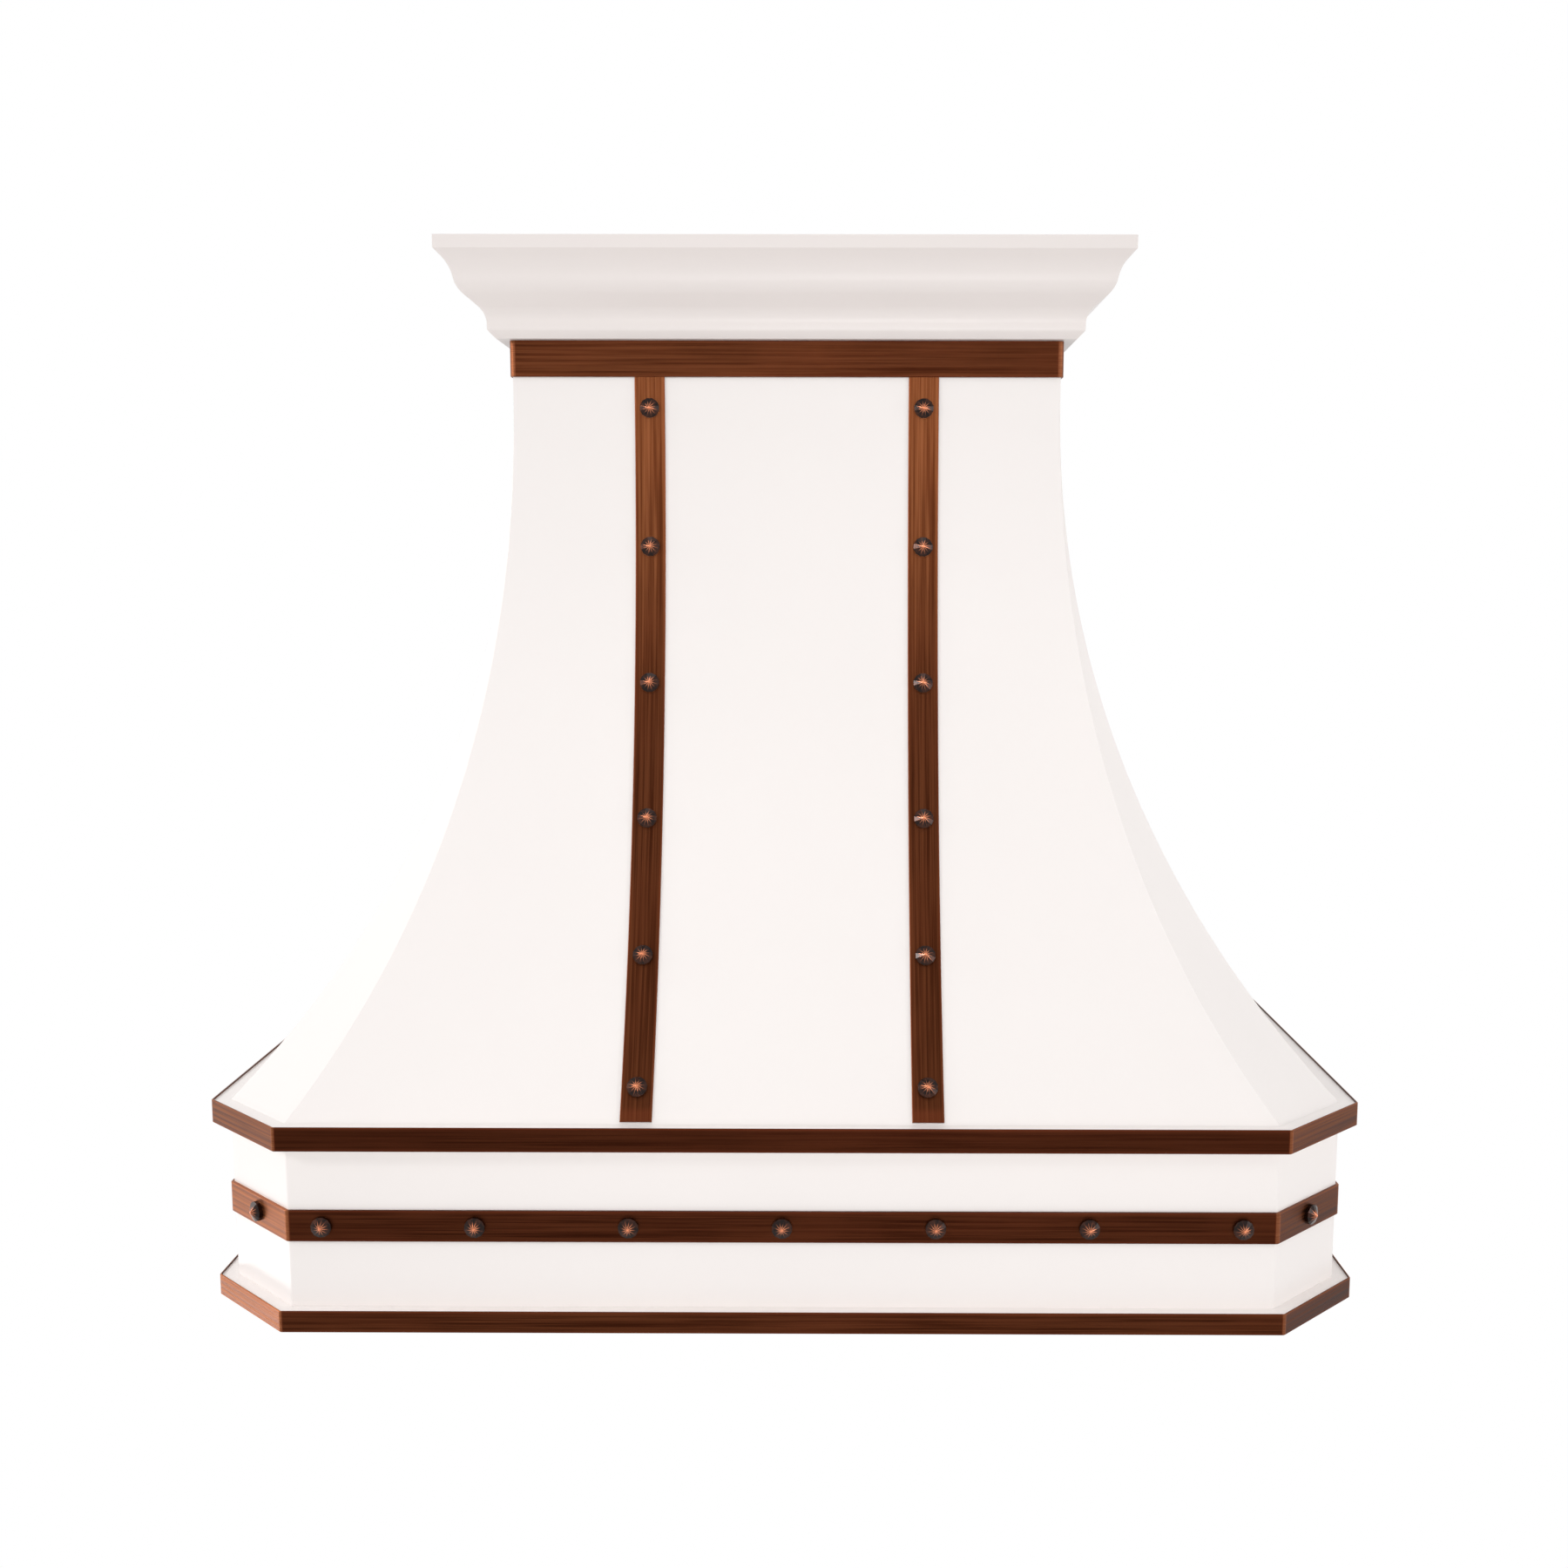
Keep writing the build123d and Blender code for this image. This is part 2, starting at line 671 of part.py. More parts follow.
def motor():
    """Closed motor with a bevelled rear cap, a groove at its end bell and a bearing bore."""
    plane = Plane(origin=(motor_face, blower_y, blower_z), x_dir=(0, 1, 0), z_dir=(-1, 0, 0))
    can = Pos(0, 0, motor_length / 2) * Cylinder(motor_radius, motor_length)
    can = chamfer(can.edges().group_by(Axis.Z)[-1], 8)
    can -= Pos(0, 0, motor_length * 0.65) * (Cylinder(motor_radius + 1, 3) - Cylinder(motor_radius - 3, 3))
    bore = Pos(0, 0, (motor_lead_in + 1) / 2) * Cylinder(shaft_radius + running_clearance, motor_lead_in + 1)
    return plane * (can - bore)


def motor_mounts():
    """Three rubber blocks between the motor and the scroll."""
    blocks = []
    for i in range(3):
        turn = math.radians(90 + 120 * i)
        y = blower_y + (motor_radius - 10) * math.cos(turn)
        z = blower_z + (motor_radius - 10) * math.sin(turn)
        blocks.append(rod(7, motor_face, motor_face + motor_mount, y, z))
    return Compound(children=blocks)


scroll = blower_scroll()
outlet_transition = transition()
wheel = impeller()
blower_motor = motor()
rubber_mounts = motor_mounts()


# Wiring box under the deck with its gland above


def wiring_box():
    """Open-sided box against the deck, closed by its cover."""
    y = -collar_from_wall
    x0, x1 = wire_box_x - wire_box_width / 2, wire_box_x + wire_box_width / 2
    y0, y1 = y - wire_box_length / 2, y + wire_box_length / 2
    low = deck_bottom - wire_box_height
    body = block(x0, x1, y0, y1, low, deck_bottom)
    body -= block(x0 + sheet, x1 - sheet, y0 + sheet, y1 - sheet, low, deck_bottom - sheet)
    cover = block(x0, x1, y0, y1, low - sheet, low)
    body -= post(gland_radius, wire_box_x, y, deck_bottom - 2 * sheet, deck_bottom)
    return body, cover


def gland():
    """Hexagon nut on a short threadless neck through the deck, bored for a cable."""
    y = -collar_from_wall
    neck = post(gland_radius, wire_box_x, y, deck_bottom - sheet, deck_top)
    nut = Pos(wire_box_x, y, deck_top) * extrude(RegularPolygon(gland_radius * 1.35, 6), gland_height)
    return neck + nut - post(gland_bore, wire_box_x, y, deck_bottom - sheet, deck_top + gland_height)


junction_box, junction_cover = wiring_box()
cable_gland = gland()


# Liner plate with its skirt, cut into four strips round the filter opening

skirt_inset = apron_inset + sheet + liner_gap
liner_low = liner_height - liner_sheet
opening_half = width / 2 - skirt_inset - side_strip
opening_front = depth - skirt_inset - front_strip
filter_width = (2 * opening_half - 2 * divider_width) / 3 - 2 * filter_side_gap
filter_depth = opening_front - rear_strip - 2 * filter_end_gap
lamp_places = (-lamp_spacing / 2, lamp_spacing / 2)


def liner():
    """Pan pressed from thin sheet: skirt, plate and an upstand round the opening."""
    t = liner_sheet
    rim = outline(skirt_inset, rear=-rail_thick)
    inner = outline(skirt_inset + t, rear=-rail_thick - t)
    pan = plate(rim, sheet, liner_height) - plate(inner, sheet, liner_low)
    half = opening_half + t
    hole = block(-opening_half, opening_half, -opening_front, -rear_strip, liner_low, strip_top)
    lip = block(-half, half, -opening_front - t, -rear_strip + t, liner_low, strip_top)
    pan = pan + lip - hole
    for x in lamp_places:
        pan -= post(lamp_radius + free_clearance, x, -strip_line, 0, liner_height)
    half, breadth = panel_length / 2 + free_clearance, panel_width / 2 + free_clearance
    pan -= block(-half, half, -strip_line - breadth, -strip_line + breadth, 0, liner_height)
    pivot = pivot_radius + running_clearance
    pan -= rod(pivot, -opening_half - 2 * t, opening_half + 2 * t, pivot_y, pivot_z)
    return pan


pivot_y = -rear_strip - filter_end_gap - pivot_inset
pivot_z = liner_low + pivot_inset
strip_top = liner_height + upstand
liner_pan = liner()
liner_front = liner_pan & block(-width, width, -depth, -opening_front, 0, strip_top)
liner_rear = liner_pan & block(-width, width, -rear_strip, 0, 0, strip_top)
liner_side_right = liner_pan & block(0, width, -opening_front, -rear_strip, 0, strip_top)
liner_side_left = liner_pan & block(-width, 0, -opening_front, -rear_strip, 0, strip_top)


def divider(side):
    """Channel between two filters, bored for their pivots."""
    middle = side * (filter_width + 2 * filter_side_gap + divider_width) / 2
    x0, x1 = middle - divider_width / 2, middle + divider_width / 2
    t = liner_sheet
    bar = block(x0, x1, -opening_front, -rear_strip, liner_low, strip_top)
    bar -= block(x0 + t, x1 - t, -opening_front, -rear_strip, liner_low, strip_top - t)
    return bar - rod(pivot_radius + running_clearance, x0, x1, pivot_y, pivot_z)


# Baffle filters, each on two pivots at its rear edge

filter_pitch = filter_width + 2 * filter_side_gap + divider_width
filter_y1 = -rear_strip - filter_end_gap
filter_y0 = filter_y1 - filter_depth
lug_y = filter_y0 + filter_rim / 2
pull_z = liner_low - lug_drop + pull_wire + 1


def filter_frame(x):
    """Folded frame with rounded corners, open above and below, and a pivot at each rear corner."""
    half = filter_width / 2
    middle = (filter_y0 + filter_y1) / 2
    profile = RectangleRounded(filter_width, filter_depth, 4)
    hole = Rectangle(filter_width - 2 * filter_rim, filter_depth - 2 * filter_rim)
    hollow = Rectangle(filter_width - 2 * filter_sheet, filter_depth - 2 * filter_sheet)
    body = extrude(profile, filter_thick) - extrude(hole, filter_thick)
    body -= Pos(0, 0, filter_sheet) * extrude(hollow, filter_thick - 2 * filter_sheet)
    body = Pos(x, middle, liner_low) * body
    for side in (-1, 1):
        reach = sorted((x + side * (half - filter_sheet), x + side * (half + filter_side_gap + pivot_reach)))
        body += rod(pivot_radius, reach[0], reach[1], pivot_y, pivot_z)
    for side in (-1, 1):
        lug_x = x + side * (pull_width / 2 + pull_wire + 2)
        body += block(lug_x - 1.5, lug_x + 1.5, lug_y - 4, lug_y + 4, liner_low - lug_drop, liner_low)
    return body - rod(pull_wire + running_clearance, x - pull_width, x + pull_width, lug_y, pull_z)


def filter_baffles(x):
    """Two rows of channels, the upper row turned over and set between the lower."""
    span = filter_width - 2 * filter_sheet
    pitch = span / baffle_count
    length = filter_depth - 2 * filter_sheet
    middle = (filter_y0 + filter_y1) / 2
    channels = []
    for row in range(2):
        for i in range(baffle_count - row):
            section = Rectangle(baffle_width, baffle_depth) - Pos(0, baffle_sheet) * Rectangle(
                baffle_width - 2 * baffle_sheet, baffle_depth
            )
            bar = extrude(Plane.XZ * section, length / 2, both=True)
            if row:
                bar = Rot(0, 180, 0) * bar
            low = liner_low + filter_sheet + baffle_depth / 2
            high = liner_low + filter_thick - filter_sheet - baffle_depth / 2
            place = x - span / 2 + pitch * (i + 0.5 + row / 2)
            channels.append(Pos(place, middle, high if row else low) * bar)
    return Compound(children=channels)


def filter_pull(x):
    """Wire bail that lies flat under the front of the filter."""
    end = pull_width / 2 + pull_wire + 4
    leg = end - 7
    far = lug_y + pull_length
    bends = [(-end, lug_y), (-leg, lug_y), (-leg, far), (leg, far), (leg, lug_y), (end, lug_y)]
    path = Polyline(*[(x + across, y, pull_z) for across, y in bends])
    ring = Plane(origin=(x - end, lug_y, pull_z), z_dir=(1, 0, 0)) * Circle(pull_wire)
    return sweep(ring, path=path, transition=Transition.RIGHT)


filter_places = {"left": -filter_pitch, "middle": 0.0, "right": filter_pitch}


# Lamps, control box, buttons and grease cup


def lamp(x):
    """Recessed can with a thin flange under the liner and a rebate for the lens."""
    body = post(lamp_radius, x, -strip_line, liner_low, liner_low + lamp_height)
    body += post(lamp_radius + lamp_flange, x, -strip_line, liner_low - sheet, liner_low)
    body = chamfer(body.edges().group_by(Axis.Z)[-1], 3)
    return body - post(lens_radius, x, -strip_line, liner_low - sheet, liner_low - sheet + lens_thick)


def lens(x):
    """Flat disc in the rebate of a lamp."""
    return post(lens_radius, x, -strip_line, liner_low - sheet, liner_low - sheet + lens_thick)


def control_box():
    """Hollow box on the liner whose face shows through the slot, with a hole for each button."""
    face = liner_low - sheet
    top = liner_height + box_height

    def slab(grow, z0, z1):
        half, breadth = panel_length / 2 + grow, panel_width / 2 + grow
        return block(-half, half, -strip_line - breadth, -strip_line + breadth, z0, z1)

    body = slab(0, face, top) + slab(panel_flange, liner_height, liner_height + panel_wall)
    body -= slab(-panel_wall, face + panel_wall, top - panel_wall)
    for x in button_places:
        body -= post(button_radius + free_clearance, x, -strip_line, face, face + panel_wall)
    return body


def button(x):
    """Bevelled push button with a flange behind the panel."""
    face = liner_low - sheet
    inside = face + panel_wall
    stem = post(button_radius, x, -strip_line, face - button_travel, inside + button_flange)
    stem = chamfer(stem.edges().group_by(Axis.Z)[0], button_bevel)
    return stem + post(button_radius + button_flange, x, -strip_line, inside, inside + button_flange)


button_places = [(i - (button_count - 1) / 2) * button_pitch for i in range(button_count)]

cup_y = -(rail_thick + liner_sheet + rear_strip) / 2
cup_top = liner_low - cup_lip - cup_sheet


def grease_rails():
    """Two Z-shaped rails under the rear strip that carry the rims of the cup."""
    length = cup_length + cup_travel
    rails = []
    for side in (-1, 1):
        inner = cup_y + side * (cup_width / 2 + free_clearance)
        outer = cup_y + side * (cup_width / 2 + cup_rim + free_clearance)
        far = outer + side * cup_sheet
        low = cup_top - cup_sheet - free_clearance
        y0, y1 = sorted((inner, far))
        rail = block(-cup_length / 2, length - cup_length / 2, y0, y1, low - cup_sheet, liner_low)
        y0, y1 = sorted((inner - side, outer))
        rail -= block(-cup_length, length, y0, y1, low, liner_low)
        rails.append(rail)
    return Compound(children=rails)


def grease_cup():
    """Open tray with two side rims that slide in the rails."""
    low = cup_top - cup_depth

    def slab(grow_x, grow_y, z0):
        half, breadth = cup_length / 2 + grow_x, cup_width / 2 + grow_y
        return block(-half, half, cup_y - breadth, cup_y + breadth, z0, cup_top)

    tray = slab(0, 0, low)
    tray = chamfer(tray.edges().group_by(Axis.Z)[0], cup_sheet)
    rim = slab(0, cup_rim, cup_top - cup_sheet)
    return tray + rim - slab(-cup_sheet, -cup_sheet, low + cup_sheet)


parts = {
    "front_panel": front_panel,
    "corner_panel_left": corner_panel_left,
    "corner_panel_right": corner_panel_right,
    "side_panel_left": side_panel_left,
    "side_panel_right": side_panel_right,
    "apron": apron,
    "lower_ledge": lower_ledge,
    "lower_ledge_band": lower_ledge_band,
    "upper_ledge": upper_ledge,
    "upper_ledge_band": upper_ledge_band,
    "apron_strap": apron_strap,
    "apron_clavos": apron_nails,
    "strap_left": strap_left,
    "strap_right": strap_right,
    "strap_clavos_left": strap_clavos_left,
    "strap_clavos_right": strap_clavos_right,
    "neck_band": neck_band,
    "crown_front": crown_front,
    "crown_return_left": crown_return_left,
    "crown_return_right": crown_return_right,
    "deck": top_deck,
    "deck_bracket": deck_bracket_frame,
    "wall_rail": wall_rail,
    "foot_rail": foot_rail,
    "duct_collar": collar,
    "damper_pin": damper_pin,
    "damper_flap_front": damper_flap_front,
    "damper_flap_rear": damper_flap_rear,
    "blower_scroll": scroll,
    "blower_transition": outlet_transition,
    "blower_motor": blower_motor,
    "motor_mounts": rubber_mounts,
    "motor_shaft": motor_shaft,
    "impeller": wheel,
    "junction_box": junction_box,
    "junction_cover": junction_cover,
    "cable_gland": cable_gland,
    "liner_front": liner_front,
    "liner_rear": liner_rear,
    "liner_side_left": liner_side_left,
    "liner_side_right": liner_side_right,
    "filter_dividers": Compound(children=[divider(-1), divider(1)]),
    "lamps": Compound(children=[lamp(x) for x in lamp_places]),
    "lamp_lenses": Compound(children=[lens(x) for x in lamp_places]),
    "control_box": control_box(),
    "grease_rails": grease_rails(),
    "grease_cup": grease_cup(),
}
for name, x in filter_places.items():
    parts["filter_frame_" + name] = filter_frame(x)
    parts["filter_baffles_" + name] = filter_baffles(x)
    parts["filter_pull_" + name] = filter_pull(x)
for i, x in enumerate(button_places):
    parts["button_" + str(i + 1)] = button(x)

for name, shape in parts.items():
    export_step(shape, "parts/" + name + ".step")
print(len(parts), "parts, crown top at", round(crown_top, 1), "mm")
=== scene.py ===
# %% [markdown]
# # A curved wall hood in white paint and dark copper
# This file dresses a hood whose sheet metal, hinges and blower are already exact solids.
# The solids come in first and are never moved. Each cell then makes one finish or one
# piece of the surface that the solids are too plain for: the flared shell, the crown,
# the bands and straps of oiled copper, and the nail heads that seem to hold them.
# All sizes are metres. X runs along the hood, -Y faces the room and Z is up.

# %% Load the solids
import math

import bpy
from mathutils import Matrix, Vector


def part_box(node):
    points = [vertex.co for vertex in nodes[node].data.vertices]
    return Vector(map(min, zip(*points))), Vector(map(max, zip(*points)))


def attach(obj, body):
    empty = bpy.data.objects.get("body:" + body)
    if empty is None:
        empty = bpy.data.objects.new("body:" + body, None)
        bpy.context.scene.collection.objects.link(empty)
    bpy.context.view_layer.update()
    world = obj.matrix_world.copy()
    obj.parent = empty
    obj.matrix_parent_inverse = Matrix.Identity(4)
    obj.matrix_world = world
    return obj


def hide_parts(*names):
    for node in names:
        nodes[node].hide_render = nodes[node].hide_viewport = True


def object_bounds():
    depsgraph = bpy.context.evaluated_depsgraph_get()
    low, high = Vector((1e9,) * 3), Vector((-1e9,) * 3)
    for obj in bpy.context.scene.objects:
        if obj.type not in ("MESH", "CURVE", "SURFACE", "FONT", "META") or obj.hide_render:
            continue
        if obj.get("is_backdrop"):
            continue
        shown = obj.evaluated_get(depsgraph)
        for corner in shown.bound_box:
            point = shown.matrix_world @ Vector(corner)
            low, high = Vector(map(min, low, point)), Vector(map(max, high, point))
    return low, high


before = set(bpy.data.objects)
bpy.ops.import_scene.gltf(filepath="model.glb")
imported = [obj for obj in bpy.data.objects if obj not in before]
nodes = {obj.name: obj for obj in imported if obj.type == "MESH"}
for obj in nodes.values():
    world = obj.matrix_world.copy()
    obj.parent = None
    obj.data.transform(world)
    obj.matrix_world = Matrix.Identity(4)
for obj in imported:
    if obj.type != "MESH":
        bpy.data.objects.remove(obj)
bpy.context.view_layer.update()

# %% [markdown]
# The camera comes next, because every later choice is judged through it. It stands a
# little right of the middle, below the crown, and tips down by less than eight degrees.
# The axes of the view are worked out from its heading, its pitch and a hair of roll, and
# a small lens shift puts the hood where the picture has it. The short helper that puts
# the camera in the scene does the same later for every piece and lamp.

# %% Camera


def put(name, data):
    """New object in the scene for a mesh, a lamp or a lens."""
    made = bpy.data.objects.new(name, data)
    bpy.context.collection.objects.link(made)
    return made


heading, pitch, roll = -0.0035, 0.1343, -0.00167
stand = (0.03885, -1.79940, 0.57117)
frame_px, focal_px, aim_px = 1800, 1951.18, (950.01, 934.13)
forward = Vector(
    (math.sin(heading) * math.cos(pitch), math.cos(heading) * math.cos(pitch), -math.sin(pitch))
)
across = Vector((math.cos(heading), -math.sin(heading), 0))
down = forward.cross(across)
right = across * math.cos(roll) + down * math.sin(roll)
below = down * math.cos(roll) - across * math.sin(roll)
lens = bpy.data.cameras.new("camera")
lens.sensor_width = 36
lens.lens = focal_px / frame_px * 36
lens.shift_x = (frame_px / 2 - aim_px[0]) / frame_px
lens.shift_y = (aim_px[1] - frame_px / 2) / frame_px
camera = put("camera", lens)
axes = Matrix((right, -below, -forward)).transposed().to_4x4()
camera.matrix_world = Matrix.Translation(stand) @ axes
bpy.context.scene.camera = camera
print("lens:", round(lens.lens, 2), "mm")

# %% [markdown]
# Nodes are easier to read as sums than as boxes and wires. `Link` wraps one output
# socket, so that `grain * 0.5 + 0.2` adds the Math nodes by itself, and the same class
# serves shaders and geometry. `Net.add` makes any other node: first its settings, then
# the values or links of its inputs, by place or by name.

# %% Expressions that become nodes


class Link:
    """One output socket that can stand in a sum."""

    def __init__(self, net, socket):
        self.net, self.socket = net, socket

    def pick(self, name):
        """Another output of the same node."""
        return Link(self.net, self.socket.node.outputs[name])

    def maths(self, operation, *others):
        return self.net.add("ShaderNodeMath", {"operation": operation}, self, *others)

    def __add__(self, other):
        return self.maths("ADD", other)

    def __sub__(self, other):
        return self.maths("SUBTRACT", other)

    def __mul__(self, other):
        return self.maths("MULTIPLY", other)

    def __truediv__(self, other):
        return self.maths("DIVIDE", other)

    def __neg__(self):
        return self.maths("MULTIPLY", -1.0)

    def __radd__(self, other):
        return self + other

    def __rmul__(self, other):
        return self * other

    def __rsub__(self, other):
        return -self + other

    def __rtruediv__(self, other):
        return self.net.add("ShaderNodeMath", {"operation": "DIVIDE"}, other, self)

    def root(self):
        return self.maths("SQRT")

    def size(self):
        return self.maths("ABSOLUTE")

    def least(self, other):
        return self.maths("MINIMUM", other)

    def most(self, other):
        return self.maths("MAXIMUM", other)

    def above(self, other):
        return self.maths("GREATER_THAN", other)

    def ramp(self, low, high):
        """0 at the low value, 1 at the high value, smooth between."""
        settings = {"interpolation_type": "SMOOTHSTEP", "clamp": True}
        return self.net.add("ShaderNodeMapRange", settings, self, low, high, 0.0, 1.0)


class Net:
    """A node tree that is filled by one method."""

    def __init__(self, tree):
        self.tree = tree

    def add(self, kind, settings, *values, out=0, **named):
        node = self.tree.nodes.new(kind)
        for key, value in settings.items():
            setattr(node, key, value)
        inputs = [(node.inputs[i], v) for i, v in enumerate(values)]
        inputs += [(node.inputs[k.replace("_", " ")], v) for k, v in named.items()]
        for socket, value in inputs:
            if isinstance(value, Link):
                self.tree.links.new(value.socket, socket)
            elif value is not None:
                socket.default_value = value
        outputs = [s for s in node.outputs if s.enabled]
        return Link(self, outputs[out]) if outputs else None

    def gather(self, node, place, *parts):
        """Several parts into the one socket of a node that takes many links."""
        for part in parts:
            self.tree.links.new(part.socket, node.socket.node.inputs[place])
        return node

    def blend(self, mask, first, second):
        """First colour where the mask is 0, second where it is 1."""
        values = [None] * 8
        values[0], values[6], values[7] = mask, first, second
        values = [(*v, 1) if isinstance(v, tuple) and len(v) == 3 else v for v in values]
        return self.add("ShaderNodeMix", {"data_type": "RGBA"}, *values)

    def noise(self, where, scale, detail=2.0, rough=0.5):
        named = {"Vector": where, "Scale": scale, "Detail": detail, "Roughness": rough}
        return self.add("ShaderNodeTexNoise", {}, **named)

    def stretch(self, where, factors):
        return self.add("ShaderNodeVectorMath", {"operation": "MULTIPLY"}, where, factors)


print("expressions ready")

# %% [markdown]
# A finish is a Principled shader with its colour, roughness and relief linked. One
# helper opens the material, hands its net to a small recipe, and joins what comes back.
# What is the same all over a surface goes straight on the shader's own sockets.

# %% Open a finish


def fresh_net(owner):
    """Empty net of a material or a world."""
    owner.use_nodes = True
    owner.node_tree.nodes.clear()
    return Net(owner.node_tree)


def finish(name, recipe, **fixed):
    """Material from a recipe that returns colour, roughness, relief and the relief's depth."""
    material = bpy.data.materials.new(name)
    net = fresh_net(material)
    colour, rough, relief, depth = recipe(net)
    bump = net.add("ShaderNodeBump", {}, Strength=1.0, Distance=depth, Height=relief)
    linked = {"Base_Color": colour, "Roughness": rough, "Normal": bump}
    shader = net.add("ShaderNodeBsdfPrincipled", {}, **linked, **fixed)
    net.add("ShaderNodeOutputMaterial", {}, shader)
    return material


def place(net):
    """Object coordinates, in metres."""
    return net.add("ShaderNodeTexCoord", {}, out=3)


def attribute(net, name):
    """A number stored on the points of a piece."""
    return net.add("ShaderNodeAttribute", {"attribute_name": name}, out=2)


dressed = []


def dress(material, *names):
    """Give CAD nodes a finish."""
    for name in names:
        nodes[name].data.materials.clear()
        nodes[name].data.materials.append(material)
        dressed.append(name)


print("finish helper ready")

# %% [markdown]
# **White paint.** The shell is steel under a warm white satin coat. Close up, sprayed
# paint has a faint orange-peel relief and is not quite one colour. Both come from noise:
# a fine one for the relief, a broad one that darkens the colour by a hair in places.

# %% White paint


def white_paint(tint):
    def recipe(net):
        where = place(net)
        broad = net.noise(where, 3.0, 3.0)
        fine = net.noise(where, 900.0, 1.0)
        shade = tuple(c * 0.985 for c in tint)
        colour = net.blend(broad.ramp(0.3, 0.7), tint, shade)
        return colour, broad * 0.06 + 0.36, fine, 0.00002

    return recipe


# The crown is the same white paint as the shell, but its tint is darker: painted shade over the
# whole moulding.
shell_paint, apron_paint, crown_paint = (
    finish(name, white_paint(tint), Coat_Weight=0.15, Coat_Roughness=0.2)
    for name, tint in (
        ("shell_paint", (0.940, 0.890, 0.866)),
        ("apron_paint", (0.972, 0.917, 0.891)),
        ("crown_paint", (0.868, 0.803, 0.776)),
    )
)
print("paints:", shell_paint.name, apron_paint.name, crown_paint.name)

# %% [markdown]
# ** Oiled copper.** The bands and straps are copper, darkened with an oil patina and then
# brushed along their length. Each strip carries a UV map in metres: U along the strip, V
# across it. Noise stretched a hundredfold along U gives the brush lines, which are both
# colour and relief. An attribute named `tone` holds painted light and shade: above 0 it
# paints the copper lighter, as where it catches the light, and below 0 darker, as where
# it is in shade. A second attribute brings out bright copper on edges and bends, partly
# rubbed metal and partly painted highlight.

# %% Oiled copper


def brushed_copper(net):
    uv = net.add("ShaderNodeUVMap", {"uv_map": "strip"})
    fine = net.noise(net.stretch(uv, (12.0, 1300.0, 1.0)), 1.0, 3.0, 0.6)
    broad = net.noise(net.stretch(uv, (5.0, 430.0, 1.0)), 1.0, 2.0)
    cloud = net.noise(net.stretch(uv, (9.0, 30.0, 1.0)), 1.0, 2.0)
    wear, tone = attribute(net, "wear"), attribute(net, "tone")
    lines = (fine * 0.4 + broad * 0.6).ramp(0.36, 0.64)
    dark = net.blend(lines, (0.028, 0.0062, 0.0024), (0.078, 0.0215, 0.0085))
    patchy = net.blend(cloud.ramp(0.40, 0.72) * 0.5, dark, (0.088, 0.0225, 0.0090))
    # Where `tone` is below 0 the copper is painted darker: painted shade.
    painted_shade = net.blend((tone * -5.0).least(1.0).most(0.0), patchy, (0.030, 0.0075, 0.0032))
    # Near the bright edges the colour turns redder: partly wear, partly painted highlight.
    rim = net.blend(wear.ramp(0.0, 0.35) * 0.6, painted_shade, (0.125, 0.028, 0.0115))
    # Where `tone` is above 0 the copper is painted lighter, towards the bright colours below:
    # painted light.
    painted_light = (tone * (0.58 + cloud * 0.5 + lines * 0.34)).least(1.0).most(0.0)
    bare = net.blend(lines, (0.42, 0.117, 0.036), (0.74, 0.262, 0.098))
    wiped = net.blend(painted_light, rim, bare)
    # Bright copper on edges and bends: partly rubbed metal, partly painted highlight.
    rubbed_and_lit = (wear * (0.70 + fine * 0.6)).ramp(0.40, 1.05)
    colour = net.blend(rubbed_and_lit, wiped, (0.56, 0.225, 0.105))
    return colour, 0.42 - rubbed_and_lit * 0.08 + (lines - 0.5) * 0.16, fine + broad, 0.00010


band_copper = finish("band_copper", brushed_copper, Metallic=1.0)


def clavo_recipe(net):
    """Black facets under lacquer, with bare copper on the ridges and the tip."""
    ridge, rise = attribute(net, "ridge"), attribute(net, "rise")
    grain = net.noise(place(net), 1400.0, 3.0)
    patch = net.noise(place(net), 240.0, 1.0)
    speck = grain - 0.5
    edge = (ridge + rise * 0.45 + speck * 0.14).ramp(0.98, 1.20)
    line = edge * (rise + (patch - 0.5) * 1.1).most(0.0)
    tip = (rise + speck * 0.2).ramp(0.88, 1.02)
    smear = rise.ramp(0.35, 1.1) * patch * 0.16
    bare = line.most(tip).most(smear).least(1.0)
    dark = net.blend(patch.ramp(0.35, 0.65), (0.010, 0.0028, 0.0014), (0.042, 0.0122, 0.0056))
    colour = net.blend(bare, dark, (0.85, 0.285, 0.135))
    return colour, 0.25 + grain * 0.05, grain, 0.00002


lacquer = {"Coat_Weight": 0.40, "Coat_Roughness": 0.14}
clavo_copper = finish("clavo_copper", clavo_recipe, Metallic=1.0, **lacquer)
print("copper:", band_copper.name, clavo_copper.name)

# %% [markdown]
# **Bare steels.** Galvanised sheet shows its zinc crystals, flat patches that each catch
# the light a little differently: a Voronoi texture is exactly that. The liner and the
# filters are stainless steel with a fine brush line along X, and pins are ground steel.

# %% Steels


def galvanised_recipe(net):
    where = place(net)
    crystal = net.add("ShaderNodeTexVoronoi", {}, Vector=where, Scale=120.0, out=1)
    tone = net.add("ShaderNodeSeparateColor", {}, crystal)
    dust = net.noise(where, 14.0, 4.0)
    colour = net.blend(tone * 0.6 + dust * 0.4, (0.40, 0.42, 0.43), (0.66, 0.68, 0.69))
    return colour, tone * 0.16 + 0.34, net.noise(where, 300.0), 0.00003


def stainless_recipe(net):
    where = place(net)
    lines = net.noise(net.stretch(where, (14.0, 1800.0, 1800.0)), 1.0, 3.0)
    smear = net.noise(where, 9.0, 2.0)
    colour = net.blend(lines.ramp(0.3, 0.7), (0.50, 0.50, 0.49), (0.66, 0.66, 0.65))
    return colour, lines * 0.14 + smear * 0.12 + 0.20, lines, 0.00002


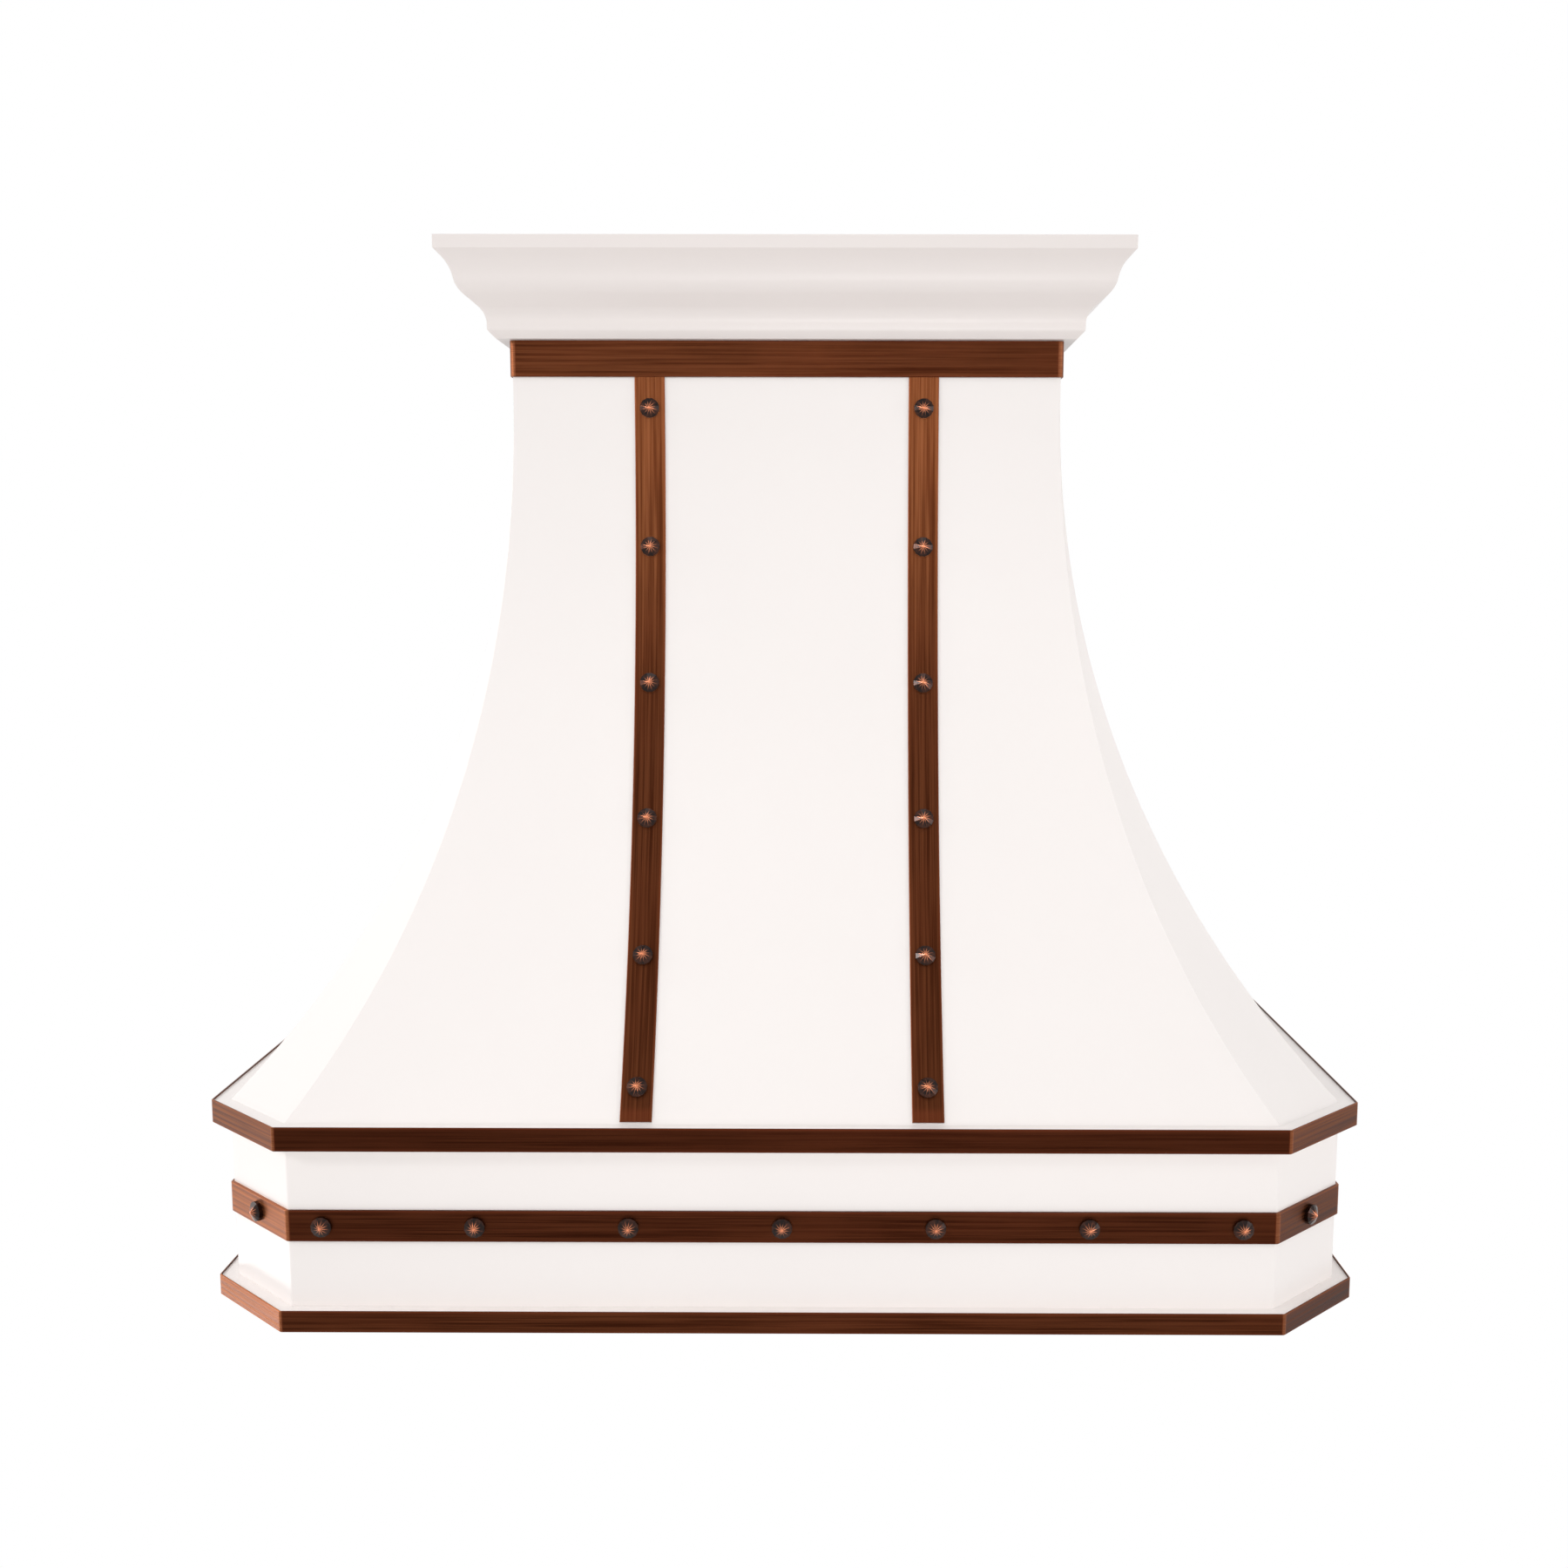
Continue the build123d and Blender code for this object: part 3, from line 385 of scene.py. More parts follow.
def ground_recipe(net):
    rings = net.noise(net.stretch(place(net), (2500.0, 60.0, 60.0)), 1.0, 2.0)
    colour = net.blend(rings, (0.45, 0.45, 0.46), (0.70, 0.70, 0.71))
    return colour, rings * 0.1 + 0.2, rings, 0.00001


galvanised = finish("galvanised", galvanised_recipe, Metallic=0.9)
stainless = finish("stainless", stainless_recipe, Metallic=1.0)
ground_steel = finish("ground_steel", ground_recipe, Metallic=1.0)
dress(galvanised, "deck", "deck_bracket", "wall_rail", "foot_rail", "duct_collar")
dress(galvanised, "blower_scroll", "blower_transition", "junction_box", "junction_cover")
dress(galvanised, "damper_flap_front", "damper_flap_rear")
dress(stainless, "liner_front", "liner_rear", "liner_side_left", "liner_side_right")
dress(stainless, "filter_dividers", "grease_rails", "grease_cup")
filter_sides = ("left", "middle", "right")
for side in filter_sides:
    dress(stainless, "filter_frame_" + side, "filter_baffles_" + side)
dress(ground_steel, "damper_pin", "motor_shaft")
print("steels on", len(dressed), "nodes")

# %% [markdown]
# **Paints, plastics, rubber and glass of the works.** The motor is stoved black with a
# slight texture, the impeller is pressed aluminium, the control panel is grained plastic,
# and the lamp lenses are frosted with fine moulded rings round each centre. The nodes
# that are printed as left get a finer piece in a later cell, which takes their place.

# %% Finishes of the works


def speckled(dark, light, rough, scale, depth):
    def recipe(net):
        where = place(net)
        grain = net.noise(where, scale, 3.0)
        broad = net.noise(where, scale / 40, 2.0)
        return net.blend(grain * 0.5 + broad * 0.5, dark, light), broad * 0.1 + rough, grain, depth

    return recipe


motor_black, rubber, plastic_black, plastic_silver, pressed_metal = (
    finish(name, speckled(*look), Metallic=metal)
    for name, metal, *look in (
        ("motor_black", 0.0, (0.012, 0.012, 0.013), (0.035, 0.035, 0.037), 0.4, 800.0, 0.00005),
        ("rubber", 0.0, (0.010, 0.010, 0.010), (0.028, 0.028, 0.028), 0.75, 500.0, 0.00005),
        ("plastic_black", 0.0, (0.014, 0.014, 0.015), (0.03, 0.03, 0.032), 0.45, 1200.0, 0.00004),
        ("plastic_silver", 0.3, (0.45, 0.45, 0.46), (0.58, 0.58, 0.59), 0.3, 900.0, 0.00001),
        ("pressed_metal", 0.95, (0.52, 0.53, 0.54), (0.70, 0.71, 0.72), 0.28, 60.0, 0.00002),
    )
)
lens_x, lens_y = 0.28, -0.478


def lens_recipe(net):
    """Fine rings round the centre of whichever lens the point is on."""
    parts = net.add("ShaderNodeSeparateXYZ", {}, place(net))
    x = parts.size() - lens_x
    y = parts.pick("Y") - lens_y
    distance = (x * x + y * y).root()
    rings = (distance * 4200.0).maths("SINE")
    colour = net.blend(rings.ramp(-1.0, 1.0), (0.80, 0.80, 0.76), (0.93, 0.93, 0.89))
    return colour, rings * 0.05 + 0.35, rings, 0.0001


frosted = finish("frosted", lens_recipe, Transmission_Weight=0.25, Coat_Weight=0.3)
dress(rubber, "motor_mounts")
dress(pressed_metal, "impeller")
dress(plastic_black, "control_box", "cable_gland")
print("left for finer pieces:", [name for name in nodes if name not in dressed])

# %% [markdown]
# ## The flared shell
# The five panels of the shell all follow one rule. At any height, each face stands off
# by its own circular arc, which leaves the neck upright and ends on the ledge. The seam
# between two panels is simply where their distances agree. A rule like that belongs in
# Geometry Nodes: a flat grid is bent by a sum, and an input says which panel it is.

# %% Sizes of the shell
flare_top, foot, shell_top = 0.7168, 0.163, 0.83932
neck_half, neck_front = 0.2235, 0.3778
foot_half, foot_front, corner_cut = 0.4418, 0.5434, 0.06228
diagonal_neck = (neck_half + neck_front) / math.sqrt(2)
diagonal_foot = (foot_half + foot_front - corner_cut) / math.sqrt(2)
flare = flare_top - foot
sheet = 0.0015
lip = 0.0015


def arc_radius(neck, base):
    """Radius of the arc that leaves the neck upright and reaches the foot."""
    reach = base - neck
    return (flare**2 + reach**2) / (2 * reach)


front_radius = arc_radius(neck_front, foot_front)
print("radii:", round(front_radius, 3), round(arc_radius(neck_half, foot_half), 3))

# %% [markdown]
# The tree below takes a grid one unit square. Its Y is the height up the panel and its X
# runs from one seam to the other. `Panel` picks the seams: 0 is the front, 1 the corner
# and 2 the side, which ends on the wall.

# %% Node tree that bends a grid into a panel


def new_tree(name, inputs):
    """Geometry tree with a geometry input and output and named numbers."""
    tree = bpy.data.node_groups.new(name, "GeometryNodeTree")
    tree.interface.new_socket("Geometry", in_out="INPUT", socket_type="NodeSocketGeometry")
    for label, kind, value in inputs:
        socket = tree.interface.new_socket(label, in_out="INPUT", socket_type="NodeSocket" + kind)
        if value is not None:
            socket.default_value = value
    tree.interface.new_socket("Geometry", in_out="OUTPUT", socket_type="NodeSocketGeometry")
    net = Net(tree)
    given = net.add("NodeGroupInput", {})
    return tree, net, given


def close_tree(net, geometry, material):
    """End every tree in Realize Instances and Set Material."""
    real = net.add("GeometryNodeRealizeInstances", {}, geometry)
    painted = net.add("GeometryNodeSetMaterial", {}, real, None, material)
    net.add("NodeGroupOutput", {}, painted)


def panel_tree():
    inputs = [("Panel", "Int", 0), ("Material", "Material", None)]
    for label, value in (
        ("Front neck", neck_front),
        ("Front foot", foot_front),
        ("Side neck", neck_half),
        ("Side foot", foot_half),
        ("Diagonal neck", diagonal_neck),
        ("Diagonal foot", diagonal_foot),
        ("Flare top", flare_top),
        ("Foot height", foot),
        ("Start", foot - lip),
        ("Top", shell_top),
    ):
        inputs.append((label, "Float", value))
    tree, net, given = new_tree("flared_panel", inputs)
    columns, rows = 25, 97
    grid = net.add("GeometryNodeMeshGrid", {}, 1.0, 1.0, columns, rows)
    spot = net.add("ShaderNodeSeparateXYZ", {}, net.add("GeometryNodeInputPosition", {}))
    u = spot + 0.5
    t = spot.pick("Y") + 0.5
    top, base, start = given.pick("Flare top"), given.pick("Foot height"), given.pick("Start")
    z = start + (given.pick("Top") - start) * t
    fall = (top - z).most(0.0)
    height = top - base

    def face(name):
        neck, low = given.pick(name + " neck"), given.pick(name + " foot")
        reach = low - neck
        radius = (height * height + reach * reach) / (reach * 2.0)
        return neck + radius - (radius * radius - fall * fall).root()

    front, side = face("Front"), face("Side")
    diagonal = face("Diagonal") * math.sqrt(2)
    seam_x, seam_y = (diagonal - front).least(side), (diagonal - side).least(front)
    panel, hair = given.pick("Panel"), 0.0001
    is_front, is_side = 1.0 - panel.most(0.0).least(1.0), (panel - 1.0).most(0.0)
    is_corner = 1.0 - is_front - is_side
    start_x = is_front * (hair - seam_x) + is_corner * seam_x + is_side * side
    start_y = (is_front + is_corner) * front + is_side * (seam_y - hair)
    end_x = is_front * (seam_x - hair) + (is_corner + is_side) * side
    end_y = is_front * front + is_corner * seam_y
    x = start_x + (end_x - start_x) * u
    y = start_y + (end_y - start_y) * u
    place_at = net.add("ShaderNodeCombineXYZ", {}, x, -y, z)
    bent = net.add("GeometryNodeSetPosition", {}, grid, None, place_at)
    smooth = net.add("GeometryNodeSetShadeSmooth", {}, bent)
    close_tree(net, smooth, given.pick("Material"))
    return tree


shell_tree = panel_tree()
print("tree:", shell_tree.name, len(shell_tree.nodes), "nodes")

# %% [markdown]
# A modifier's inputs are set by the identifier of each socket. The result is then turned
# into a plain mesh, so that nothing depends on the tree afterwards.

# %% Run a tree and keep its mesh


def settled(piece):
    """Plain mesh of an object as its modifiers leave it."""
    graph = bpy.context.evaluated_depsgraph_get()
    return bpy.data.meshes.new_from_object(piece.evaluated_get(graph), depsgraph=graph)


def grown(name, tree, points=None, facing=None, chain=False, **values):
    """Object with the mesh that a tree makes, from points that face a way or form a chain."""
    seed = bpy.data.meshes.new(name + "_seed")
    if points:
        links = [(i, i + 1) for i in range(len(points) - 1)] if chain else []
        seed.from_pydata([tuple(p) for p in points], links, [])
    if facing:
        ways = seed.attributes.new("facing", "FLOAT_VECTOR", "POINT")
        ways.data.foreach_set("vector", [c for way in facing for c in way])
    maker = put(name + "_maker", seed)
    modifier = maker.modifiers.new("nodes", "NODES")
    modifier.node_group = tree
    for item in tree.interface.items_tree:
        label = item.name.replace(" ", "_")
        if item.in_out == "INPUT" and label in values:
            modifier[item.identifier] = values[label]
    mesh = settled(maker)
    bpy.data.objects.remove(maker)
    mesh.name = name
    return put(name, mesh)


def keep(piece, slot, *replaced, body="hood"):
    """Fix a finished piece to its body, in place of its CAD nodes."""
    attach(piece, body)
    if replaced:
        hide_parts(*replaced)
    print(piece.name, len(piece.data.polygons), "faces")
    return piece


print("tree runner ready")

# %% [markdown]
# **Panels.** The front panel, the right corner panel and the right side panel are grown
# by the tree. Solidify gives each sheet its thickness on the inner side, and the left
# ones are mirror images. The corner panels stop a little short of the neck, where the
# front and the sides meet.

# %% Panels of the shell


def thicken(piece, thickness):
    """Give a sheet its thickness behind the face, with crisp edges round the sheet."""
    modifier = piece.modifiers.new("thickness", "SOLIDIFY")
    modifier.thickness, modifier.offset = thickness, -1
    mesh = settled(piece)
    piece.modifiers.clear()
    piece.data = mesh
    mesh.set_sharp_from_angle(angle=math.radians(30))
    return piece


def turn_out(mesh, centre=(0, -0.1, 0.5)):
    """Flip a mesh whose faces look at its inside."""
    total = sum((p.center - Vector(centre)).dot(p.normal) * p.area for p in mesh.polygons)
    if total < 0:
        mesh.flip_normals()


def mirror_mesh(piece, name):
    """The same piece on the other side of the hood."""
    mesh = piece.data.copy()
    mesh.name = name
    mesh.transform(Matrix.Scale(-1, 4, (1, 0, 0)))
    mesh.flip_normals()
    return put(name, mesh)


corner_gap = 0.004
for number, name in enumerate(("front_panel", "corner_panel_right", "side_panel_right")):
    crest = flare_top - corner_gap if number == 1 else shell_top
    panel = grown(name + "_skin", shell_tree, Panel=number, Material=shell_paint, Top=crest)
    turn_out(panel.data)
    pair = [(panel, name)]
    if number:
        other = name.replace("right", "left")
        pair.append((mirror_mesh(panel, other + "_skin"), other))
    for piece, node in pair:
        keep(thicken(piece, sheet), "shell_paint", node)

# %% [markdown]
# ## Bent strips
# The ledges, the apron, the copper bands and the crown are all one idea: a profile that
# is carried round the hood and folded at the corners. The path is the plan of the front
# with small bend radii, and each point of it knows which way is out.

# %% Plans and the walk along them
width, depth, corner_leg = 0.9144, 0.5588, 0.0713
neck_line = [(neck_half, 0), (neck_half, -neck_front), (-neck_half, -neck_front), (-neck_half, 0)]


def hood_plan(inset):
    """Plan of the octagonal front, from the wall on the right round to the wall on the left."""
    half, front = width / 2 - inset, depth - inset
    shoulder = width / 2 - corner_leg - inset * math.tan(math.radians(22.5))
    side = front - (half - shoulder)
    right_half = [(half, 0), (half, -side), (shoulder, -front)]
    return right_half + [(-x, y) for x, y in reversed(right_half)]


def outward(way):
    """Direction out of the hood, seen along a direction of travel in plan."""
    return Vector((-way.y, way.x))


def rounded(plan, radius, steps=6):
    """Points along a plan: place, way out, length so far, bend (0 or 1) and side."""
    stations = []

    def stop(point, out, bend, side):
        last, travelled = (stations[-1][0], stations[-1][2]) if stations else (point, 0.0)
        stations.append((point, out, travelled + (point - last).length, bend, side))

    for i, corner in enumerate(plan):
        corner = Vector(corner)
        before = (corner - Vector(plan[i - 1])).normalized() if i else None
        after = (Vector(plan[i + 1]) - corner).normalized() if i + 1 < len(plan) else None
        if before is None or after is None:
            stop(corner, outward(after if before is None else before), 0.0, max(i - 1, 0))
            continue
        if radius == 0:
            mitre = (outward(before) + outward(after)) / 2
            stop(corner, mitre / mitre.length_squared, 1.0, i)
            continue
        turn = before.angle(after)
        cut, guard = radius * math.tan(turn / 2), radius / 2
        centre = corner - before * cut - outward(before) * radius
        stop(corner - before * (cut + guard), outward(before), 0.0, i - 1)
        for k in range(steps + 1):
            out = outward(before)
            out.rotate(Matrix.Rotation(-turn * k / steps, 2))
            stop(centre + out * radius, out, 1.0, i - 1 + k / steps)
        stop(corner + after * (cut + guard), outward(after), 0.0, i)
    return stations


walk = rounded(hood_plan(0), 0.0015)
print("walk round the ledge:", len(walk), "stops,", round(walk[-1][2], 4), "m")

# %% [markdown]
# The profile is a short list of steps out and up. The helper writes the `strip` UV map,
# the attribute of bright edges (wear and painted highlight) and the `tone` of painted light
# and shade while it still knows where the edges and the bends are. The last lines turn the
# faces outwards and keep only the real folds crisp.

# %% Carry a profile along a plan


def carried(name, rings, travels, climb, wear, tone, material):
    """Tube through rings of points, closed at both ends, with its map and attributes."""
    count = len(rings[0])
    faces, uvs = [], []
    for i in range(len(rings) - 1):
        near, far = travels[i], travels[i + 1]
        for j in range(count):
            k = (j + 1) % count
            faces.append((i * count + j, i * count + k, (i + 1) * count + k, (i + 1) * count + j))
            low, high = climb[j], climb[j + 1]
            uvs.append(((near, low), (near, high), (far, high), (far, low)))
    last = (len(rings) - 1) * count
    faces += [tuple(reversed(range(count))), tuple(last + j for j in range(count))]
    end = [(0.0, climb[j]) for j in range(count)]
    uvs += [end[::-1], end]
    mesh = bpy.data.meshes.new(name)
    mesh.from_pydata([point for ring in rings for point in ring], [], faces)
    layer = mesh.uv_layers.new(name="strip")
    layer.data.foreach_set("uv", [c for face in uvs for corner in face for c in corner])
    for label, values in (("wear", wear), ("tone", tone)):
        mesh.attributes.new(label, "FLOAT", "POINT").data.foreach_set("value", values)
    mesh.materials.append(material)
    return put(name, mesh)


def soften(mesh, angle):
    """Smooth faces, with the edges over an angle in degrees kept crisp."""
    for polygon in mesh.polygons:
        polygon.use_smooth = True
    mesh.set_sharp_from_angle(angle=math.radians(angle))


def bent_strip(name, plan, profile, material, radius, wear=None, tones=(0,) * 5, drift=0.0):
    """Closed profile of (out, up) steps carried round a plan and capped at both ends."""
    edge = wear or [0.0] * len(profile)
    climb = [0.0]
    for a, b in zip(profile, profile[1:] + profile[:1]):
        climb.append(climb[-1] + math.dist(a, b))
    rings, travels, rubs_and_highlights, painted_lights = [], [], [], []
    for point, out, travelled, bend, side in rounded(plan, radius):
        rings.append([(*(point + out * o), z) for o, z in profile])
        travels.append(travelled)
        # Edges on faces turned to the sides are painted brighter, and every bend gets some: painted
        # highlight on top of the wear in the profile.
        sideways_highlight = 0.45 + 0.55 * (1 - abs(out.normalized().y))
        rubs_and_highlights += [max(rub_and_highlight * sideways_highlight, bend * 0.6) for rub_and_highlight in edge]
        # Painted light and shade of each side, blended round the bends, with a slope along X that
        # paints the left end lighter.
        before = tones[int(side)]
        after = tones[min(int(side) + 1, len(tones) - 1)]
        tone = before + (after - before) * (side - int(side)) - drift * point.x
        painted_lights += [tone] * len(profile)
    made = carried(name, rings, travels, climb, rubs_and_highlights, painted_lights, material)
    turn_out(made.data)
    soften(made.data, 24)
    return made


print("strip helper ready")

# %% [markdown]
# ** Copper bands.** Each band is a strip bent round the front. Its profile has a small
# chamfer along the two outer edges, and those points carry the bright edge: partly wear,
# partly painted highlight. A row of points a little inside each edge keeps the bright line
# as thin as on the real strip. The numbers after each band's thickness give its painted
# light and shade on each side in turn, from the wall on the right to the left: the left
# corner is painted much lighter, and the fronts of the upper ledge and the apron a little
# darker. The last number paints the neck band lighter towards its left end.

# %% Bands round the ledges, the apron and the neck


def band_profile(thick, low, high, chamfer=0.0005, line=0.0011):
    """Back face at 0, front face at `thick`, with the bright edge lines marked: wear and painted
    highlight.
    """
    steps = [
        (0.0, low, 0.0),
        (thick - chamfer, low, 0.7),
        (thick, low + chamfer, 0.7),
        (thick, low + line, 0.35),
        (thick, low + 3 * line, 0.0),
        (thick, high - 3 * line, 0.0),
        (thick, high - line, 0.35),
        (thick, high - chamfer, 1.0),
        (thick - chamfer, high, 0.8),
        (0.0, high, 0.0),
    ]
    return [(o, z) for o, z, w in steps], [w for o, z, w in steps]


z_of = {name: (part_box(name)[0][2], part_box(name)[1][2]) for name in nodes}
band_thick, wrap_thick, neck_thick = 0.0012, 0.0025, 0.0023
apron_back, band_bend = 0.0134, 0.0022
for name, plan, thick, tones, drift in (
    ("lower_ledge_band", hood_plan(band_thick), band_thick, (0.02, 0.05, 0.02, 0.45, 0.1), 0.0),
    ("upper_ledge_band", hood_plan(band_thick), band_thick, (0.02, 0.16, -0.09, 0.27, 0.1), 0.0),
    ("apron_strap", hood_plan(apron_back), wrap_thick, (0.02, 0.11, -0.02, 0.46, 0.1), 0.0),
    ("neck_band", neck_line, neck_thick, (0.05, 0.05, 0.05), 0.12),
):
    profile, wear = band_profile(thick, *z_of[name])
    look = (band_copper, band_bend, wear, tones, drift)
    keep(bent_strip(name + "_copper", plan, profile, *look), "band_copper", name)

# %% [markdown]
# **Apron and ledges.** The apron is one sheet with four soft bends. The ledges are
# folded channels, with the flange that carries the shell on the upper one. All three
# stay a little below the copper, whose top edges stand proud on the real hood.

# %% Apron and ledges
low, high = (z - lip for z in z_of["apron"])
profile = [(0.0, low), (0.0, high), (-sheet, high), (-sheet, low)]
apron = bent_strip("apron_sheet", hood_plan(apron_back), profile, apron_paint, radius=0.003)
keep(apron, "apron_paint", "apron")


def channel(low, high, top_flange, bottom_flange):
    """Channel open to the back: web, then a flange at the top and one at the bottom."""
    return [
        (0.0, low),
        (0.0, high),
        (-top_flange, high),
        (-top_flange, high - sheet),
        (-sheet, high - sheet),
        (-sheet, low + sheet),
        (-bottom_flange, low + sheet),
        (-bottom_flange, low),
    ]


for name, *flanges in (("lower_ledge", apron_back, 0.024), ("upper_ledge", 0.042, apron_back)):
    low, high = z_of[name]
    profile = channel(low, high - lip, *(reach - band_thick for reach in flanges))
    ledge = bent_strip(name + "_sheet", hood_plan(band_thick), profile, apron_paint, radius=0)
    keep(ledge, "ledge_steel", name)

# %% [markdown]
# **Crown.** The moulding over the neck band is the classic pair of a hollow and a swell.
# Its outer line is a chain of short arcs, each starting in the direction in which the
# last one ended, and the inner line is the same chain moved in by the sheet.

# %% Crown moulding


def crown_chain(start, moves):
    """Points of a chain of lines and arcs. Angles are from upright, positive outward."""
    out, up, angle = *start, 0.0
    points = [(out, up)]
    for kind, *sizes in moves:
        if kind == "line":
            length, angle = sizes
            out += length * math.sin(angle)
            up += length * math.cos(angle)
            points.append((out, up))
            continue
        radius, end = sizes
        steps = max(3, int(abs(end - angle) * 14))
        arm = radius if end > angle else -radius
        centre = (out + arm * math.cos(angle), up - arm * math.sin(angle))
        for k in range(1, steps + 1):
            lean = angle + (end - angle) * k / steps
            points.append((centre[0] - arm * math.cos(lean), centre[1] + arm * math.sin(lean)))
        out, up = points[-1]
        angle = end
    return points


slope, swell, nose = math.radians(50), math.radians(10), math.radians(45)
crown_low, crown_high = z_of["crown_front"]
tall, projection, shelf = crown_high - crown_low, 0.0513, 0.011
outer = [(0.0, 0.0), (shelf, 0.0), (0.016, 0.005), (0.0167, 0.0060)]
hollow = [("line", 0.0035, 0.0), ("arc", 0.017, slope), ("line", 0.0115, slope)]
outer += crown_chain((0.017, 0.0075), hollow)
# The line of no length only sets the slope from which the swell starts.
bulge = [("line", 0.0, slope), ("arc", 0.020, swell), ("arc", 0.030, nose)]
outer += crown_chain(outer[-1], bulge)[2:]
outer.append((projection, outer[-1][1] + projection - outer[-1][0]))
outer.append((projection, tall))
inner = [(-sheet, tall), (-sheet, tall - sheet), (projection - sheet, tall - sheet)]
inner += [(o - sheet, u + 0.0004) for o, u in reversed(outer[2:-1])]
inner += [(shelf, sheet), (0.0, sheet)]
profile = [(o, crown_low + u) for o, u in outer + inner]
crown = bent_strip("crown_moulding", neck_line, profile, crown_paint, radius=0)
keep(crown, "crown_paint", "crown_front", "crown_return_left", "crown_return_right")

# %% [markdown]
# ** Upright straps.** The two straps lie on the curve of the front panel from the ledge
# up to the neck band. They are built like the bands, but carried up the arc, and their
# copper is painted lighter towards the neck: painted light.

# %% Upright straps
strap_half, strap_thick, strap_reach = 0.0123, 0.0015, 0.1119
band_low = z_of["neck_band"][0]
front_sweep = math.asin(flare / front_radius)
strap_rise = band_low - flare_top
strap_length = front_radius * front_sweep + strap_rise
lit_from, lit_over = 0.44, 0.26


def on_front(x, angle, z):
    """Point of the front panel that leans by an angle below a height, and its way out."""
    y = -(neck_front + front_radius * (1 - math.cos(angle)))
    point = Vector((x, y, z - front_radius * math.sin(angle)))
    return point, Vector((0, -math.cos(angle), math.sin(angle)))


def strap_stations(count=90):
    """Points on the front face with their outward direction, from the ledge upward."""
    for i in range(count + 1):
        travelled = strap_length * i / count
        angle = max(front_sweep - travelled / front_radius, 0)
        over = max(travelled - front_radius * front_sweep, 0)
        yield *on_front(0, angle, flare_top + over), travelled


def strap_mesh(name, x, chamfer=0.0004, line=0.0011):
    section = [
        (-strap_half, 0.0, 0.3),
        (-strap_half, strap_thick - chamfer, 1.0),
        (-strap_half + chamfer, strap_thick, 1.0),
        (-strap_half + line, strap_thick, 0.35),
        (-strap_half + 2.5 * line, strap_thick, 0.0),
        (strap_half - 2.5 * line, strap_thick, 0.0),
        (strap_half - line, strap_thick, 0.35),
        (strap_half - chamfer, strap_thick, 0.9),
        (strap_half, strap_thick - chamfer, 0.9),
        (strap_half, 0.0, 0.3),
    ]
    rings, travels, rubs_and_highlights, painted_lights = [], [], [], []
    for i, (point, out, travelled) in enumerate(strap_stations()):
        rings.append([point + out * lift + Vector((x + a, 0, 0)) for a, lift, rub_and_highlight in section])
        travels.append(travelled)
        # Edges and the foot of the strap carry wear and painted highlight; the copper is painted
        # lighter towards the neck band: painted light.
        rubs_and_highlights += [max(rub_and_highlight * 0.6, 0.3 if i < 2 else 0.0) for a, lift, rub_and_highlight in section]
        climb = min(max((point.z - lit_from) / lit_over, 0), 1)
        painted_lights += [0.045 + 0.175 * climb * climb * (3 - 2 * climb)] * len(section)
    across = [a for a, lift, rub_and_highlight in section]
    return carried(name, rings, travels, across + across[:1], rubs_and_highlights, painted_lights, band_copper)


for side, x in (("left", -strap_reach), ("right", strap_reach)):
    keep(strap_mesh("strap_" + side + "_copper", x), "strap_copper", "strap_" + side)

# %% [markdown]
# ## Clavos
# The clavos are decorative nail heads: a short round wall under a low cone with twelve
# flat facets. One tree makes them all. It places a head on every point it is given,
# turns it to the point's `facing`, and gives each a small turn of its own about its axis,
# which leaves one facet looking at the key light on the left. The `ridge` attribute is 1
# on the edges between facets, where the copper is rubbed bright, and `rise` grows to 1 at
# the tip.

# %% Node tree for the nail heads


def raised(net, geometry, z):
    """Geometry moved up by a height."""
    shift = net.add("ShaderNodeCombineXYZ", {}, 0.0, 0.0, z)
    return net.add("GeometryNodeTransform", {}, geometry, Translation=shift)


def head_on_points(net, given, head, **spin_range):
    """Set a head on every given point, turned to its `facing` and spun about it."""
    facing = net.add("GeometryNodeInputNamedAttribute", {"data_type": "FLOAT_VECTOR"}, "facing")
    spin = net.add("FunctionNodeRandomValue", {"data_type": "FLOAT"}, **spin_range)
    upright = net.add("FunctionNodeAlignRotationToVector", {"axis": "Z"}, None, 1.0, facing)
    turn = net.add("FunctionNodeAxisAngleToRotation", {}, (0, 0, 1), spin)
    rotation = net.add("FunctionNodeRotateRotation", {"rotation_space": "LOCAL"}, upright, turn)
    points = net.add("GeometryNodeMeshToPoints", {}, given)
    rows = net.add("GeometryNodeInstanceOnPoints", {}, points, Instance=head, Rotation=rotation)
    close_tree(net, rows, given.pick("Material"))


